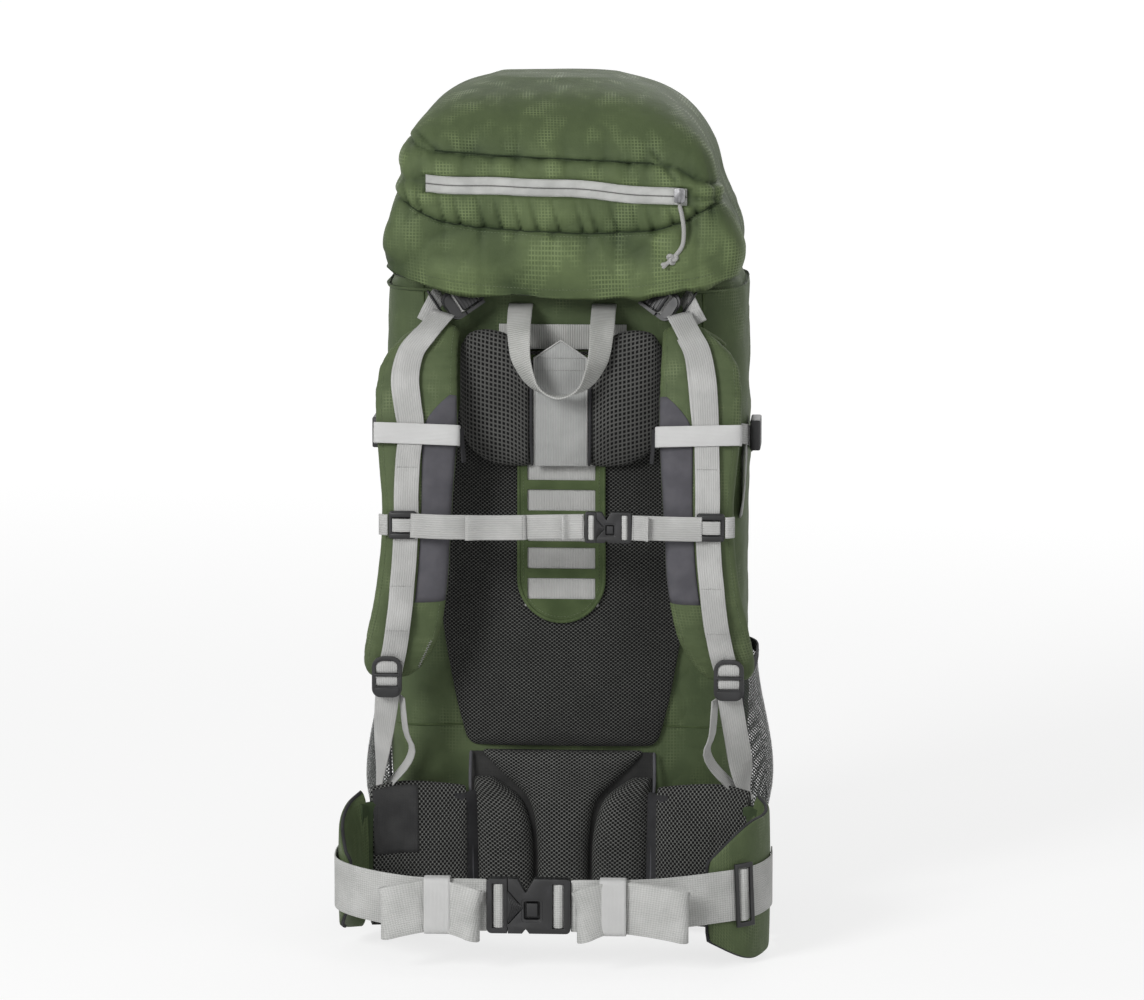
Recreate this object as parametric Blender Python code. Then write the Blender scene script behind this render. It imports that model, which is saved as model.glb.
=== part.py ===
"""Hiking backpack, standing on its base at z = 0, with its harness facing -Y. Units are metres."""
import math

import bmesh
import bpy
from mathutils import Vector

# Fit between touching pieces
GAP = 0.0003
SIDES = (("left", -1), ("right", 1))
RIGHT = Vector((1, 0, 0))
UP = Vector((0, 0, 1))
NEAR = Vector((0, -1, 0))

# Bag: (height, half width, far side) from the base up to the rim
BAG_LEVELS = (
    (0.0103, 0.152, 0.105),
    (0.030, 0.164, 0.116),
    (0.100, 0.174, 0.123),
    (0.300, 0.178, 0.125),
    (0.600, 0.178, 0.125),
    (0.632, 0.174, 0.122),
    (0.645, 0.166, 0.118),
    (0.655, 0.158, 0.113),
)
BAG_NEAR_Y = -0.115
BAG_WALL = 0.003
BAG_NEAR_POWER = 5.0
BAG_FAR_POWER = 3.6
BASE_HEIGHT = 0.010
COLLAR_TOP_Z = 0.690
COLLAR_DRAWN_IN = 0.030
COLLAR_WALL = 0.002

# Frame inside the bag
SHEET_BACK_Y = BAG_NEAR_Y + BAG_WALL + 0.0045
SHEET_THICK = 0.002
SHEET_HALF_WIDTH = 0.095
SHEET_LOW_Z = 0.030
SHEET_HIGH_Z = 0.600
HOOP_ROD = 0.008
HOOP_HALF_WIDTH = 0.080
HOOP_LOW_Z = 0.040
HOOP_BEND_Z = 0.550
HOOP_BEND_RADIUS = 0.030

# Side pockets
POCKET_LOW_Z = 0.030
POCKET_HIGH_Z = 0.255
POCKET_HALF_RUN = 0.080
POCKET_MIDDLE_Y = 0.008
POCKET_STAND_OFF = 0.0018
POCKET_BULGE = 0.026
POCKET_SKIN = 0.0015

# Side compression straps
SIDE_WEBBING = 0.020
SIDE_STRAP_Z = 0.489
SIDE_STRAP_NEAR_Y = -0.082
SIDE_STRAP_RUN = 0.150
SIDE_STRAP_FALL = 0.030
SIDE_BUCKLE_SIZE = Vector((0.010, 0.046, 0.030))
SIDE_BUCKLE_NEAR_Y = -0.068

# Lid, hem to crown: (height, half width, near side, far side, squareness of the near side, middle)
LID_LEVELS = (
    (0.651, 0.1715, -0.150, 0.136, 14, -0.0015),
    (0.676, 0.1750, -0.1555, 0.140, 14, -0.0020),
    (0.705, 0.1665, -0.157, 0.140, 14, -0.0015),
    (0.735, 0.1550, -0.156, 0.138, 14, -0.0030),
    (0.768, 0.1480, -0.151, 0.134, 12, -0.0050),
    (0.798, 0.1310, -0.130, 0.122, 7, -0.0080),
    (0.820, 0.1040, -0.098, 0.100, 4.5, -0.0110),
    (0.834, 0.0620, -0.052, 0.060, 3.2, -0.0120),
)
LID_WALL = 0.003
LID_FAR_POWER = 3.6
LID_FLOOR_Z = 0.700
LID_FLOOR_THICK = 0.002
LID_STRAP_X = 0.085
HEM_DROOP = 0.023
LID_HINGE = Vector((0, -0.150, 0.651 - HEM_DROOP))
ZIP_MIDDLE = Vector((-0.004, -0.156, 0.7345))
ZIP_ALONG = Vector((math.cos(math.radians(2.8)), 0, -math.sin(math.radians(2.8))))
ZIP_HALF_LENGTH = 0.126
ZIP_HEIGHT = 0.017
SLIDER_REACH = 0.119
PULL_DIAMETER = 0.003
PULL_STEPS = ((0, -0.0012, -0.0035), (0.003, -0.0030, -0.016), (0.0045, -0.0032, -0.030),
              (0.003, -0.0032, -0.043), (-0.003, -0.0032, -0.052), (-0.010, -0.0032, -0.059))

# Webbing
STRAP_WEBBING = 0.025
BELT_WEBBING = 0.050
WEBBING_THICK = 0.0016

# Back panel layers, from the bag wall out
PAD_BACK_Y = BAG_NEAR_Y - GAP
PAD_THICK = 0.0195
LADDER_HALF_WIDTH = 0.043
WINDOW_HALF_WIDTH = 0.033
WINDOW_HEIGHT = 0.0205
WINDOW_PITCH = 0.029
WINDOW_MARGIN = 0.0235
WINDOW_COUNT = 8
LADDER_LOW_Z = 0.309
LADDER_HIGH_Z = 0.572
LADDER_BACK_Y = -0.1368
LADDER_THICK = 0.0025
YOKE_BACK_Y = LADDER_BACK_Y - LADDER_THICK - GAP
YOKE_THICK = 0.0184
YOKE_VALLEY_THICK = 0.0080
TAB_HALF_WIDTH = 0.026
TAB_LOW_Z = 0.465
TAB_PEAK_Z = 0.5875
TAB_THICK = 0.002
BAR_HALF_WIDTH = 0.062
BAR_LOW_Z = 0.575
BAR_HIGH_Z = 0.5995

# Shoulder straps: centre line of the right one, from the yoke down to the ladder-lock
STRAP_POINTS = (
    (0.1345, -0.1285, 0.582),
    (0.1330, -0.141, 0.597),
    (0.1335, -0.158, 0.595),
    (0.1345, -0.178, 0.567),
    (0.1355, -0.195, 0.510),
    (0.1355, -0.205, 0.430),
    (0.1400, -0.203, 0.360),
    (0.1500, -0.192, 0.305),
    (0.1600, -0.180, 0.274),
    (0.1650, -0.174, 0.260),
)
STRAP_HALF_WIDTHS = (0.031, 0.0335, 0.034, 0.037, 0.039, 0.034, 0.0345, 0.0355, 0.030, 0.021)
STRAP_THICK = 0.014
STRAP_WEBBING_SHIFT = 0.009
LIFTER_LEAN = 0.024
STERNUM_Z = 0.4165
STERNUM_X = 0.148
STERNUM_BUCKLE_X = 0.050
STERNUM_END_X = STERNUM_X - 0.008
STERNUM_BUCKLE_SCALE = 0.56
BAND_Z = 0.5015
BAND_HALF_WIDTH = 0.040
BAND_HALF_HEIGHT = 0.010
LOCK_WIDTH = 0.029
LOCK_HEIGHT = 0.040
LOCK_THICK = 0.004
LOCK_TOP_Z = 0.2845
STRAP_LOCK_X = 0.1655
LOWER_FOOT = Vector((0.182, -0.126, 0.130))
LIFTER_LOCK = Vector((0.0955, -0.134, 0.6255))
LIFTER_RUN = Vector((0.75, -0.42, -0.50)).normalized()

# Hip belt: centre line of each wing seen from above, then its height at each point
WING_HINGE = Vector((0.193, -0.164, 0))
WING_THICK = 0.013
WING_POINTS = ((0.0925, -0.1385), (0.120, -0.1445), (0.155, -0.1500), (0.1845, -0.1640))
WING_LOW_HIGH = ((0.016, 0.146), (0.010, 0.150), (0.008, 0.152), (0.010, 0.148))
TIP_POINTS = {
    "left": ((0.1895, -0.1690), (0.2005, -0.190), (0.2040, -0.222), (0.1975, -0.256)),
    "right": ((0.1895, -0.1690), (0.1980, -0.192), (0.1975, -0.228), (0.1825, -0.262), (0.149, -0.281)),
}
TIP_LOW_HIGH = {
    "left": ((0.010, 0.147), (0.014, 0.138), (0.024, 0.124), (0.044, 0.100)),
    "right": ((0.010, 0.147), (0.009, 0.142), (0.006, 0.140), (0.007, 0.136), (0.026, 0.104)),
}
BELT_SIDE_Z = 0.076
BELT_FRONT_Z = 0.0665
HIP_BUCKLE = Vector((-0.020, -0.317, BELT_FRONT_Z))
BUCKLE_BAR_REACH = 0.0435
BELT_JOINS = {"left": Vector((-0.172, -0.2910, 0)), "right": Vector((0.124, -0.2990, 0))}
KEEPER_X = {"left": -0.107, "right": 0.0605}
BOW_OUTER = {"left": 0.054, "right": 0.072}
BOW_LAYER = 0.0032


def finish(name, colour, roughness, metallic=0.0):
    """One material for one kind of surface."""
    surface = bpy.data.materials.new(name)
    surface.use_nodes = True
    shader = surface.node_tree.nodes["Principled BSDF"]
    shader.inputs["Base Color"].default_value = (*colour, 1)
    shader.inputs["Roughness"].default_value = roughness
    shader.inputs["Metallic"].default_value = metallic
    return surface


def build(name, skin, surface, pivot=(0, 0, 0)):
    """Make one named object from points and faces, with its origin at the pivot."""
    verts, faces = skin
    pivot = Vector(pivot)
    mesh = bpy.data.meshes.new(name)
    mesh.from_pydata([Vector(point) - pivot for point in verts], [], faces)
    shape = bmesh.new()
    shape.from_mesh(mesh)
    bmesh.ops.recalc_face_normals(shape, faces=shape.faces)
    shape.to_mesh(mesh)
    shape.free()
    mesh.shade_smooth()
    mesh.set_sharp_from_angle(angle=math.radians(40))
    mesh.materials.append(surface)
    piece = bpy.data.objects.new(name, mesh)
    piece.location = pivot
    bpy.context.collection.objects.link(piece)
    return piece


def loft(rings, closed=False):
    """Skin a run of equal loops, capped at both ends unless the run closes on itself."""
    count = len(rings[0])
    verts = [point for loop in rings for point in loop]
    faces = []
    for row in range(len(rings) if closed else len(rings) - 1):
        low = row * count
        high = (row + 1) % len(rings) * count
        for step in range(count):
            after = (step + 1) % count
            faces.append((low + step, low + after, high + after, high + step))
    if not closed:
        last = (len(rings) - 1) * count
        faces.append(tuple(range(count)))
        faces.append(tuple(range(last, last + count)))
    return verts, faces


def signed_power(value, power):
    return math.copysign(abs(value) ** power, value)


def rounded_loop(half_x, near_y, far_y, z, near_power, far_power, count=32):
    """Level loop of a rounded box. A higher power makes that side squarer and flatter."""
    middle = (near_y + far_y) / 2
    half_y = (far_y - near_y) / 2
    loop = []
    for step in range(count):
        angle = 2 * math.pi * (step + 0.5) / count
        wide = math.cos(angle)
        deep = math.sin(angle)
        power = near_power if deep < 0 else far_power
        reach = (abs(wide) ** power + abs(deep) ** power) ** (-1 / power)
        loop.append((half_x * reach * wide, middle + half_y * reach * deep, z))
    return loop


def smooth_path(points, per_span):
    """Points along a smooth curve that passes through every given point."""
    points = [Vector(point) for point in points]
    ends = [points[0] * 2 - points[1]] + points + [points[-1] * 2 - points[-2]]
    path = []
    for span in range(len(points) - 1):
        before, start, stop, after = ends[span:span + 4]
        for step in range(per_span):
            t = step / per_span
            path.append(0.5 * (2 * start + (stop - before) * t
                               + (2 * before - 5 * start + 4 * stop - after) * t ** 2
                               + (3 * start - before - 3 * stop + after) * t ** 3))
    path.append(points[-1])
    return path


def tangents(path):
    last = len(path) - 1
    return [(path[min(k + 1, last)] - path[max(k - 1, 0)]).normalized() for k in range(len(path))]


def ribbon(path, width, across, thick=WEBBING_THICK):
    """Flat webbing along a path. Its width lies along across, one direction or one for each point."""
    directions = across if isinstance(across, list) else [across] * len(path)
    rings = []
    for point, forward, side in zip(path, tangents(path), directions):
        face = forward.cross(side).normalized()
        side = face.cross(forward).normalized()
        wide = side * width / 2
        deep = face * thick / 2
        rings.append([point + wide + deep, point - wide + deep, point - wide - deep, point + wide - deep])
    return loft(rings)


def pad(stations, count=14):
    """Sewn pad from (centre, across, outward, half width, thickness) stations: crowned in front,
    drawn in at its sides and flat behind."""
    rings = []
    for centre, across, outward, half_width, thick in stations:
        loop = []
        for step in range(count):
            angle = 2 * math.pi * (step + 0.5) / count
            wide = signed_power(math.cos(angle), 2 / 3.0)
            deep = signed_power(math.sin(angle), 2 / 2.4 if math.sin(angle) > 0 else 2 / 7)
            loop.append(centre + across * wide * half_width + outward * deep * thick / 2)
        rings.append(loop)
    return loft(rings)


def end_ease(share):
    """Rises from 0 at either end of a pad to 1 over its first and last sixth."""
    return math.sqrt(min(1, 6 * min(share, 1 - share)))


def standing_pad(levels, back_y, thick, per_span):
    """Pad against an upright wall, from (height, left edge, right edge) levels."""
    outline = smooth_path([(low, high, z) for z, low, high in levels], per_span)
    stations = []
    for place, (low, high, z) in enumerate(outline):
        deep = thick * (0.4 + 0.6 * end_ease(place / (len(outline) - 1)))
        centre = Vector(((low + high) / 2, back_y - deep / 2, z))
        stations.append((centre, RIGHT, NEAR, (high - low) / 2, deep))
    return pad(stations)


def bricks(xs, ys, zs, hollow):
    """Closed skin of a block that is cut into cells, without the cells that hollow picks."""
    sizes = (len(xs) - 1, len(ys) - 1, len(zs) - 1)
    cells = {
        (i, j, k)
        for i in range(sizes[0])
        for j in range(sizes[1])
        for k in range(sizes[2])
        if not hollow(i, j, k)
    }
    corner_of = {}
    faces = []
    for cell in sorted(cells):
        for axis in range(3):
            for end in (0, 1):
                beside = list(cell)
                beside[axis] += 2 * end - 1
                if tuple(beside) in cells:
                    continue
                first, second = [other for other in range(3) if other != axis]
                quad = []
                for step_a, step_b in ((0, 0), (1, 0), (1, 1), (0, 1)):
                    corner = list(cell)
                    corner[axis] += end
                    corner[first] += step_a
                    corner[second] += step_b
                    quad.append(corner_of.setdefault(tuple(corner), len(corner_of)))
                faces.append(tuple(quad))
    verts = [(xs[i], ys[j], zs[k]) for i, j, k in corner_of]
    return verts, faces


def placed(skin, origin, along=RIGHT, up=UP):
    """Carry a local skin to its place, with its x along one direction and its z near another."""
    verts, faces = skin
    along = along.normalized()
    inward = up.cross(along).normalized()
    up = along.cross(inward)
    return [origin + along * x + inward * y + up * z for x, y, z in verts], faces


def box(low, high):
    return bricks((low[0], high[0]), (low[1], high[1]), (low[2], high[2]), lambda *cell: False)


def bag_at(z):
    """Half width and far side of the bag at one height."""
    for (low, width_a, far_a), (high, width_b, far_b) in zip(BAG_LEVELS, BAG_LEVELS[1:]):
        if z <= high:
            share = max(0, (z - low) / (high - low))
            return width_a + (width_b - width_a) * share, far_a + (far_b - far_a) * share
    return BAG_LEVELS[-1][1:]


def bag_side_x(y, z):
    """How far out the bag's side wall is."""
    half_width, far_y = bag_at(z)
    middle = (BAG_NEAR_Y + far_y) / 2
    power = BAG_NEAR_POWER if y < middle else BAG_FAR_POWER
    share = min(1, abs(y - middle) / (far_y - middle))
    return half_width * (1 - share ** power) ** (1 / power)


def bag_loop(z, half_width, far_y, inset=0.0):
    return rounded_loop(half_width - inset, BAG_NEAR_Y + inset, far_y - inset, z,
                        BAG_NEAR_POWER, BAG_FAR_POWER)


def make_bag(green, dark_green, black):
    outer = [bag_loop(*level) for level in BAG_LEVELS]
    inner = [bag_loop(z, width, far, BAG_WALL) for z, width, far in reversed(BAG_LEVELS[1:])]
    floor_z, floor_width, floor_far = BAG_LEVELS[0]
    inner.append(bag_loop(floor_z + BAG_WALL, floor_width, floor_far, BAG_WALL))
    build("main_bag", loft(outer + inner), green)
    foot = [bag_loop(z, floor_width, floor_far) for z in (0, BASE_HEIGHT)]
    build("base_panel", loft(foot), black)
    rim_z, rim_width, rim_far = BAG_LEVELS[-1]
    low_z = rim_z + GAP
    collar = [
        bag_loop(low_z, rim_width, rim_far),
        bag_loop(COLLAR_TOP_Z, rim_width, rim_far, COLLAR_DRAWN_IN),
        bag_loop(COLLAR_TOP_Z, rim_width, rim_far, COLLAR_DRAWN_IN + COLLAR_WALL),
        bag_loop(low_z, rim_width, rim_far, COLLAR_WALL),
    ]
    build("snow_collar", loft(collar, closed=True), dark_green)


def make_frame(plastic, aluminium):
    sheet_front_y = SHEET_BACK_Y + SHEET_THICK
    low = (-SHEET_HALF_WIDTH, SHEET_BACK_Y, SHEET_LOW_Z)
    build("frame_sheet", box(low, (SHEET_HALF_WIDTH, sheet_front_y, SHEET_HIGH_Z)), plastic)
    hoop_y = sheet_front_y + GAP + HOOP_ROD / 2
    left_turn = []
    for degrees in range(0, 91, 10):
        angle = math.radians(degrees)
        x = -HOOP_HALF_WIDTH + HOOP_BEND_RADIUS * (1 - math.cos(angle))
        left_turn.append(Vector((x, hoop_y, HOOP_BEND_Z + HOOP_BEND_RADIUS * math.sin(angle))))
    right_turn = [Vector((-x, y, z)) for x, y, z in reversed(left_turn)]
    feet = [Vector((sign * HOOP_HALF_WIDTH, hoop_y, HOOP_LOW_Z)) for _, sign in SIDES]
    path = [feet[0]] + left_turn + right_turn + [feet[1]]
    build("frame_hoop", ribbon(path, HOOP_ROD, -NEAR, HOOP_ROD), aluminium)


def make_side_pocket(name, sign, net):
    """Open-topped net panel, sewn to the bag at its foot and both edges, that bulges in the middle."""
    columns, rows = 10, 7
    verts = []
    faces = []
    for layer in (0, POCKET_SKIN):
        for row in range(rows + 1):
            rise = row / rows
            z = POCKET_LOW_Z + (POCKET_HIGH_Z - POCKET_LOW_Z) * rise
            for column in range(columns + 1):
                along = 2 * column / columns - 1
                fullness = (1 - along ** 4) * min(1, 2.4 * rise) ** 0.5
                y = POCKET_MIDDLE_Y + POCKET_HALF_RUN * along
                x = bag_side_x(y, z) + POCKET_STAND_OFF + layer + POCKET_BULGE * fullness
                verts.append((sign * x, y, z))
    width = columns + 1
    sheet = width * (rows + 1)
    for row in range(rows):
        for column in range(columns):
            quad = [row * width + column, row * width + column + 1]
            quad += [quad[1] + width, quad[0] + width]
            faces.append(tuple(quad))
            faces.append(tuple(corner + sheet for corner in quad))
    rim = list(range(width))
    rim += [row * width + columns for row in range(1, rows + 1)]
    rim += [rows * width + column for column in reversed(range(columns))]
    rim += [row * width for row in reversed(range(1, rows))]
    for here, after in zip(rim, rim[1:] + rim[:1]):
        faces.append((here, after, after + sheet, here + sheet))
    build(name, (verts, faces), net)


def make_compression(side, sign, webbing, plastic):
    """Webbing along the bag's side, with its buckle."""
    steps = 12
    run = []
    for step in range(steps + 1):
        share = step / steps
        y = SIDE_STRAP_NEAR_Y + SIDE_STRAP_RUN * share
        x = bag_side_x(y, SIDE_STRAP_Z) + 0.0020
        run.append(Vector((sign * x, y, SIDE_STRAP_Z - SIDE_STRAP_FALL * share)))
    build(f"compression_strap_{side}", ribbon(run, SIDE_WEBBING, UP), webbing)
    deep, long, tall = SIDE_BUCKLE_SIZE
    xs = (0, deep * 0.35, deep * 0.75, deep)
    ys = [long * share for share in (0, 0.13, 0.26, 0.74, 0.87, 1)]
    zs = [tall * share for share in (0, 0.13, 0.87, 1)]
    frame = bricks(xs, ys, zs, lambda i, j, k: k == 1 and j in (1, 3))
    inner_x = bag_side_x(SIDE_BUCKLE_NEAR_Y + long / 2, SIDE_STRAP_Z) + 0.0034
    corner_x = inner_x if sign > 0 else -inner_x - deep
    corner = Vector((corner_x, SIDE_BUCKLE_NEAR_Y, SIDE_STRAP_Z - tall / 2 - 0.004))
    build(f"compression_buckle_{side}", placed(frame, corner), plastic)


def make_back_panel(mesh_fabric, green, webbing):
    levels = ((0.1835, -0.093, 0.093), (0.240, -0.107, 0.107), (0.330, -0.120, 0.120),
              (0.430, -0.115, 0.115), (0.530, -0.099, 0.099), (0.573, -0.090, 0.090))
    build("back_pad", standing_pad(levels, PAD_BACK_Y, PAD_THICK, 3), mesh_fabric)
    centre = ((0.010, -0.026, 0.026), (0.050, -0.025, 0.025), (0.095, -0.026, 0.026),
              (0.130, -0.034, 0.034), (0.156, -0.060, 0.060), (0.179, -0.082, 0.082))
    build("lumbar_pad_centre", standing_pad(centre, PAD_BACK_Y, 0.0215, 3), mesh_fabric)
    for side, sign in SIDES:
        edges = ((0.010, 0.029, 0.083), (0.050, 0.0285, 0.085), (0.095, 0.030, 0.087),
                 (0.130, 0.041, 0.088), (0.152, 0.068, 0.087))
        levels = [(z, min(sign * a, sign * b), max(sign * a, sign * b)) for z, a, b in edges]
        build(f"lumbar_pad_{side}", standing_pad(levels, PAD_BACK_Y, 0.0235, 3), mesh_fabric)
    bottom = LADDER_LOW_Z + LADDER_HALF_WIDTH
    outline = []
    for degrees in range(0, 181, 15):
        angle = math.radians(degrees)
        outline.append((-LADDER_HALF_WIDTH * math.cos(angle), bottom - LADDER_HALF_WIDTH * math.sin(angle)))
    outline += [(LADDER_HALF_WIDTH, LADDER_HIGH_Z), (-LADDER_HALF_WIDTH, LADDER_HIGH_Z)]
    faces_y = (LADDER_BACK_Y, LADDER_BACK_Y - LADDER_THICK)
    panel = build("ladder_panel", loft([[(x, y, z) for x, z in outline] for y in faces_y]), green)
    for window in range(WINDOW_COUNT):
        low = LADDER_LOW_Z + WINDOW_MARGIN + WINDOW_PITCH * window
        edge = (-WINDOW_HALF_WIDTH, LADDER_BACK_Y - 2 * LADDER_THICK, low)
        far = (WINDOW_HALF_WIDTH, LADDER_BACK_Y + LADDER_THICK, low + WINDOW_HEIGHT)
        make_cutter(f"window_cutter_{window}", box(edge, far), panel)
    strip_y = LADDER_BACK_Y + GAP
    strip = box((-WINDOW_HALF_WIDTH - 0.003, strip_y, LADDER_LOW_Z + 0.016),
                (WINDOW_HALF_WIDTH + 0.003, strip_y + 0.0011, LADDER_HIGH_Z - 0.004))
    build("ladder_webbing", strip, webbing)
    bar_y = PAD_BACK_Y - 0.0007
    bar = box((-BAR_HALF_WIDTH, bar_y - WEBBING_THICK, BAR_LOW_Z), (BAR_HALF_WIDTH, bar_y, BAR_HIGH_Z))
    build("top_webbing_bar", bar, webbing)


def lid_loop(z, half_width, near_y, far_y, near_power, middle, inset=0.0):
    """Level loop of the lid, which sits a little further left towards its crown."""
    loop = rounded_loop(half_width - inset, near_y + inset, far_y - inset, z, near_power, LID_FAR_POWER)
    return [(x + middle, y, height) for x, y, height in loop]


def droop(loop):
    """Let the hem hang lower towards the middle of the near side."""
    half_width = max(x for x, y, z in loop)
    near_y = min(y for x, y, z in loop)
    return [(x, y, z - HEM_DROOP * (1 - (x / half_width) ** 2) * max(0, y / near_y)) for x, y, z in loop]


def make_cutter(name, skin, target):
    """Hidden block that a Boolean takes out of the target."""
    cutter = build(name, skin, target.data.materials[0])
    cutter.hide_render = True
    cutter.display_type = "WIRE"
    cut = target.modifiers.new(name, "BOOLEAN")
    cut.object = cutter
    cut.operation = "DIFFERENCE"


def make_lid(green, dark_green, zip_grey, webbing, plastic):
    outer = [lid_loop(*level) for level in reversed(LID_LEVELS)]
    outer[-1] = droop(outer[-1])
    inner = [droop(lid_loop(*LID_LEVELS[0], LID_WALL))]
    for z, *shape in LID_LEVELS[1:]:
        drop = LID_WALL if z > LID_FLOOR_Z + 0.1 else 0
        inner.append(lid_loop(z - drop, *shape, LID_WALL))
    shell = build("lid_shell", loft(outer + inner), green, LID_HINGE)
    reach = ZIP_HALF_LENGTH + 0.0005
    rise = ZIP_HEIGHT / 2 + 0.0005
    slot = placed(box((-reach, -0.02, -rise), (reach, 0.02, rise)), ZIP_MIDDLE, ZIP_ALONG)
    make_cutter("zip_slot_cutter", slot, shell)
    floor = [rounded_loop(0.1600, -0.1515, 0.135, z, LID_LEVELS[0][4], LID_FAR_POWER)
             for z in (LID_FLOOR_Z, LID_FLOOR_Z + LID_FLOOR_THICK)]
    build("lid_floor", loft(floor), dark_green, LID_HINGE)
    tape = box((-ZIP_HALF_LENGTH, 0, -ZIP_HEIGHT / 2), (ZIP_HALF_LENGTH, 0.0018, ZIP_HEIGHT / 2))
    build("zip_tape", placed(tape, ZIP_MIDDLE, ZIP_ALONG), zip_grey, LID_HINGE)
    ledge_z = 0.6395
    ledge = box((-BAR_HALF_WIDTH, LID_HINGE.y + 0.0036, ledge_z),
                (BAR_HALF_WIDTH, BAG_NEAR_Y - 2 * GAP, ledge_z + LID_FLOOR_THICK))
    build("lid_hinge_panel", ledge, dark_green)
    for side, sign in SIDES:
        run = [Vector((sign * LID_STRAP_X, y, z)) for y, z in
               ((0.1385, 0.690), (0.1395, 0.655), (0.1370, 0.630), (0.1330, 0.600), (0.1325, 0.571))]
        build(f"lid_strap_{side}", ribbon(run, SIDE_WEBBING, RIGHT), webbing, LID_HINGE)
        xs = (-0.014, -0.0108, 0.0108, 0.014)
        ys = (0, 0.003, 0.007, 0.010)
        zs = (-0.036, -0.030, -0.024, 0)
        pocket = bricks(xs, ys, zs, lambda i, j, k: i == 1 and (j == 1 or k == 1))
        build(f"lid_buckle_{side}", placed(pocket, Vector((sign * LID_STRAP_X, 0.1275, 0.586))), plastic)


def make_zip_pull(metal, cord):
    seat = ZIP_MIDDLE + ZIP_ALONG * SLIDER_REACH + NEAR * 0.0014
    pivot = seat + Vector((0, -0.0035, -0.004))
    xs = (-0.005, -0.0015, 0.0015, 0.005)
    ys = (-0.0055, -0.0025, 0)
    zs = (-0.006, 0.0015, 0.0045, 0.008)
    slider = bricks(xs, ys, zs, lambda i, j, k: j == 0 and (i != 1 or k == 0))
    build("zip_slider", placed(slider, seat, ZIP_ALONG), metal, pivot)
    route = [pivot + Vector(step) for step in PULL_STEPS]
    line = bpy.data.curves.new("zip_pull", "CURVE")
    line.dimensions = "3D"
    line.bevel_depth = PULL_DIAMETER / 2
    line.bevel_resolution = 2
    line.use_fill_caps = True
    points = smooth_path(route, 2)
    spline = line.splines.new("POLY")
    spline.points.add(len(points) - 1)
    for point, place in zip(spline.points, points):
        point.co = (*(place - pivot), 1)
    line.materials.append(cord)
    piece = bpy.data.objects.new("zip_pull", line)
    piece.location = pivot
    bpy.context.collection.objects.link(piece)


def make_haul_loop(webbing):
    """Loop whose webbing lies flat at its sewn ends and turns on edge round the bend."""
    leg = ((-0.0405, -0.1175, 0.6190), (-0.0405, -0.136, 0.612), (-0.0400, -0.156, 0.596),
           (-0.0365, -0.168, 0.570), (-0.0230, -0.172, 0.545), (0, -0.173, 0.5355))
    route = list(leg) + [(-x, y, z) for x, y, z in reversed(leg[:-1])]
    path = smooth_path(route, 3)
    across = []
    for place in range(len(path)):
        share = place / (len(path) - 1)
        turn = math.pi * share ** 2 * (3 - 2 * share)
        across.append(Vector((math.cos(turn), -math.sin(turn), 0)))
    build("haul_loop", ribbon(path, STRAP_WEBBING, across), webbing, (0, leg[0][1], leg[0][2]))


def make_yoke(mesh_fabric, webbing):
    """Yoke pad with a lobe on each side of the valley that its webbing tab lies in."""
    half = ((0.0980, 0.505, 0.580, 1.0), (0.0880, 0.481, 0.594, 1.0), (0.0680, 0.467, 0.597, 1.0),
            (0.0480, 0.4635, 0.590, 1.0), (0.0330, 0.464, 0.572, 0.8), (0.0280, 0.465, 0.567, 0.0),
            (0.0100, 0.465, 0.565, 0.0))
    columns = [(-x, low, high, full) for x, low, high, full in half]
    columns += [(x, low, high, full) for x, low, high, full in reversed(half)]
    path = smooth_path([(x, low, high) for x, low, high, full in columns], 2)
    fullness = smooth_path([(full, 0, 0) for *_, full in columns], 2)
    stations = []
    for place, ((x, low, high), full) in enumerate(zip(path, fullness)):
        ease = end_ease(place / (len(path) - 1))
        lobe = YOKE_VALLEY_THICK + (YOKE_THICK - YOKE_VALLEY_THICK) * min(1, max(0, full.x))
        deep = lobe * (0.5 + 0.5 * ease)
        centre = Vector((x, YOKE_BACK_Y - deep / 2, (low + high) / 2))
        stations.append((centre, UP, NEAR, (high - low) / 2, deep))
    build("yoke_pad", pad(stations), mesh_fabric)
    shoulder_z = TAB_PEAK_Z - 0.017
    outline = ((-TAB_HALF_WIDTH, TAB_LOW_Z), (TAB_HALF_WIDTH, TAB_LOW_Z), (TAB_HALF_WIDTH, shoulder_z),
               (0, TAB_PEAK_Z), (-TAB_HALF_WIDTH, shoulder_z))
    tab_y = YOKE_BACK_Y - YOKE_VALLEY_THICK - GAP
    build("yoke_tab", loft([[(x, y, z) for x, z in outline] for y in (tab_y, tab_y - TAB_THICK)]), webbing)


def strap_frames(sign):
    """Stations along one shoulder strap: (centre, outward direction, half width, share of length)."""
    route = [Vector((sign * x, y, z)) for x, y, z in STRAP_POINTS]
    path = smooth_path(route, 2)
    widths = smooth_path([(width, 0, 0) for width in STRAP_HALF_WIDTHS], 2)
    frames = []
    for place, (point, forward, width) in enumerate(zip(path, tangents(path), widths)):
        outward = Vector((0, forward.z, -forward.y)).normalized()
        frames.append((point, outward, width.x, place / (len(path) - 1)))
    return frames


def strap_front(sign, z):
    """Centre line and outward direction of a strap where it passes one height on its way down."""
    frames = strap_frames(sign)
    for (point_a, out_a, *_), (point_b, out_b, *_) in zip(frames[4:], frames[5:]):
        if point_b.z <= z <= point_a.z:
            share = (point_a.z - z) / (point_a.z - point_b.z)
            return point_a.lerp(point_b, share), out_a.lerp(out_b, share).normalized()
    return frames[-1][0], frames[-1][1]


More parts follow.
